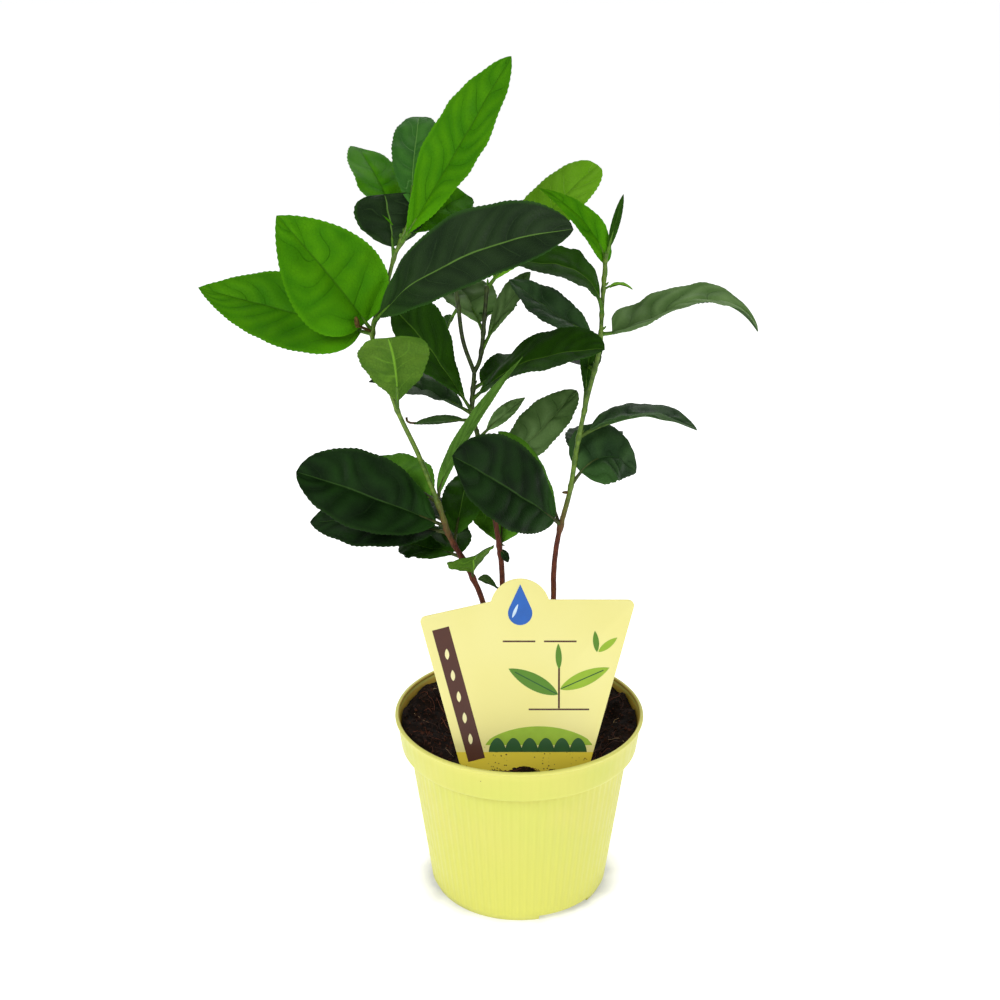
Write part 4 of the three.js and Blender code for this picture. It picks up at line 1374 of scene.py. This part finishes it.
# %% Grow the stalks
def stalk_tube(stem, leaf):
    reach = (min(STALK_LENGTH, 0.2 * leaf["length"]) + 9) / leaf["length"]
    line = midrib_line(stem, leaf, np.linspace(0, min(reach, 0.6), 12))
    face = leaf_axes(leaf["turn"], leaf["rise"], leaf["roll"])[1]
    radii = np.linspace(1.05, 0.5, 12) * min(1, (leaf["length"] / 40) ** 0.5)
    return tube(line - face * np.linspace(0, 0.35, 12)[:, None], radii, 10)


def bud_tube(stem, leaf):
    heading, face = leaf_axes(leaf["turn"], min(leaf["rise"] + 35, 85), 0)
    start = stem_place(stem, leaf["at"] + 1.6) + heading * 0.6
    shares = np.linspace(0, 1, 7)
    line = start + np.outer(shares * 2.6, heading) + np.outer(0.4 * shares**2, face)
    return tube(line, 0.08 + 0.46 * np.sin(np.pi * np.minimum(shares * 0.75 + 0.25, 1)), 8)


stalk = Finish("leaf_stalk", Specular_IOR_Level=0.22)
mottle = stalk.noise(2, 2).smooth(0.3, 0.7)
low_tone = mottle.mix(colour(46, 52, 20), colour(66, 78, 28))
high_tone = mottle.mix(colour(66, 108, 24), colour(92, 134, 36))
stalk.set("Base Color", stalk.height().smooth(200, 285).mix(low_tone, high_tone))
stalk.set("Roughness", stalk.noise(1.5, 2) * 0.15 + 0.4)
for side in ("left", "middle", "right"):
    parts = [
        maker(stem, leaf)
        for stem, leaves in MASSES.values() if stem.startswith(side)
        for leaf in leaves for maker in (stalk_tube, bud_tube)
    ]
    stalks = mesh_piece(side, *join_parts(parts), [stalk.material])
    shade(stalks, 60)
    settle(stalks, f"{side}_stalks_and_buds", "young_leaf")

# %% [markdown]
# A few spots have dried up: the tip of one narrow leaf has curled into a brown thread, a bud by
# the crown has died back, and a lost twig has left a stub. All are short tubes along lines of
# their own.


# %% Grow the dry bits
def dry_tip(stem, leaf):
    """A dead thread that hangs on at a leaf's tip and hooks upward."""
    tip = midrib_line(stem, leaf, np.array([0.93]))[0]
    turns = np.linspace(0, 1, 9)[:, None]
    out = np.array([-4.6, -0.8, 0.4]) * np.minimum(turns * 1.5, 1)
    return tube(tip + out + np.array([-0.6, 0, 5.2]) * np.maximum(turns - 0.45, 0) ** 1.2, 0.55, 8)


def dry_bud(start, end, thick):
    shares = np.linspace(0, 1, 7)
    line = np.array(start) + np.outer(shares, np.subtract(end, start))
    return tube(line, thick * (0.25 + 0.75 * np.sin(np.pi * np.minimum(shares * 0.7 + 0.2, 1))), 8)


dead = Finish("dead_bark", Specular_IOR_Level=0.12)
dead.set("Base Color", dead.noise(0.8, 3).smooth(0.35, 0.65).mix(colour(58, 46, 20), colour(108, 86, 42)))
dead.set("Roughness", dead.noise(1, 2) * 0.2 + 0.6)
narrow_leaf = MASSES["middle_fork_leaves"][1][2]
crown = stem_place("left", 284)
joint = stem_place("right", 204)
dry_parts = join_parts([
    dry_tip("middle", narrow_leaf),
    dry_bud(crown, crown + (-6, -6, 4.5), 0.7),
    dry_bud(crown + (-5.8, -7, 4), crown + (-6.3, -8, 8.8), 1.15),
    dry_bud(joint, joint + (-3.4, -1, 0.4), 0.8),
])
dry = mesh_piece("dry", *dry_parts, [dead.material])
shade(dry, 60)
settle(dry, "dry_tip_bud_and_stub", "bark")

# %% [markdown]
# ## Floor and light
#
# The plant stands on a plain pale floor in a bright white room, as for a catalogue: a large soft light high
# on the left in front, a weaker one on the right, one from behind, and an even white surround, which the
# camera sees brighter than it shines. A painted contact shadow darkens the floor softly round the foot of
# the pot, and the floor isn't part of the plant.

# %% Light the scene
select_only()
bpy.ops.mesh.primitive_plane_add(size=40)
floor = bpy.context.object
floor.name = "floor"
paper = Finish("floor_paper", Roughness=0.9, Specular_IOR_Level=0.1, Emission_Strength=0.7)
spot = paper.node("ShaderNodeSeparateXYZ", None, {"Vector": paper.place()})
away = (spot.out("X") ** 2 + (spot.out("Y") * 1.15) ** 2) ** 0.5 / MM
# Darker base and emission colour round the pot's foot: a painted contact shadow.
away = (away + paper.noise(14, 2) * 8).smooth(43, 62)
paper.set("Base Color", away.mix((0.56, 0.57, 0.6, 1), (0.86, 0.86, 0.86, 1)))
paper.set("Emission Color", away.mix((0.3, 0.3, 0.32, 1), (1, 1, 1, 1)))
dress(floor, paper)


def soft_light(name, place, target, size, power):
    bpy.ops.object.light_add(type="AREA", location=place)
    lamp = bpy.context.object
    lamp.name = name
    lamp.data.shape = "DISK"
    lamp.data.size = size
    lamp.data.energy = power
    aim = Vector(target) - Vector(place)
    lamp.rotation_euler = aim.to_track_quat("-Z", "Y").to_euler()


middle = (0, 0, 0.22)
soft_light("key", (-0.7, -0.9, 1.1), middle, 0.7, 9.5)
soft_light("fill", (0.9, -0.7, 0.6), middle, 0.9, 3)
soft_light("back", (0.2, 0.9, 1.0), middle, 0.8, 4)
world = bpy.data.worlds.new("white_room")
world.use_nodes = True
backdrop = world.node_tree.nodes["Background"]
backdrop.inputs["Color"].default_value = (1, 1, 1, 1)
seen = Wire(world.node_tree).node("ShaderNodeLightPath", out="Is Camera Ray")
world.node_tree.links.new((seen * 0.7 + 0.35).socket, backdrop.inputs["Strength"])
bpy.context.scene.world = world
bpy.context.scene.view_settings.view_transform = "Standard"
bpy.context.scene.view_settings.look = "None"
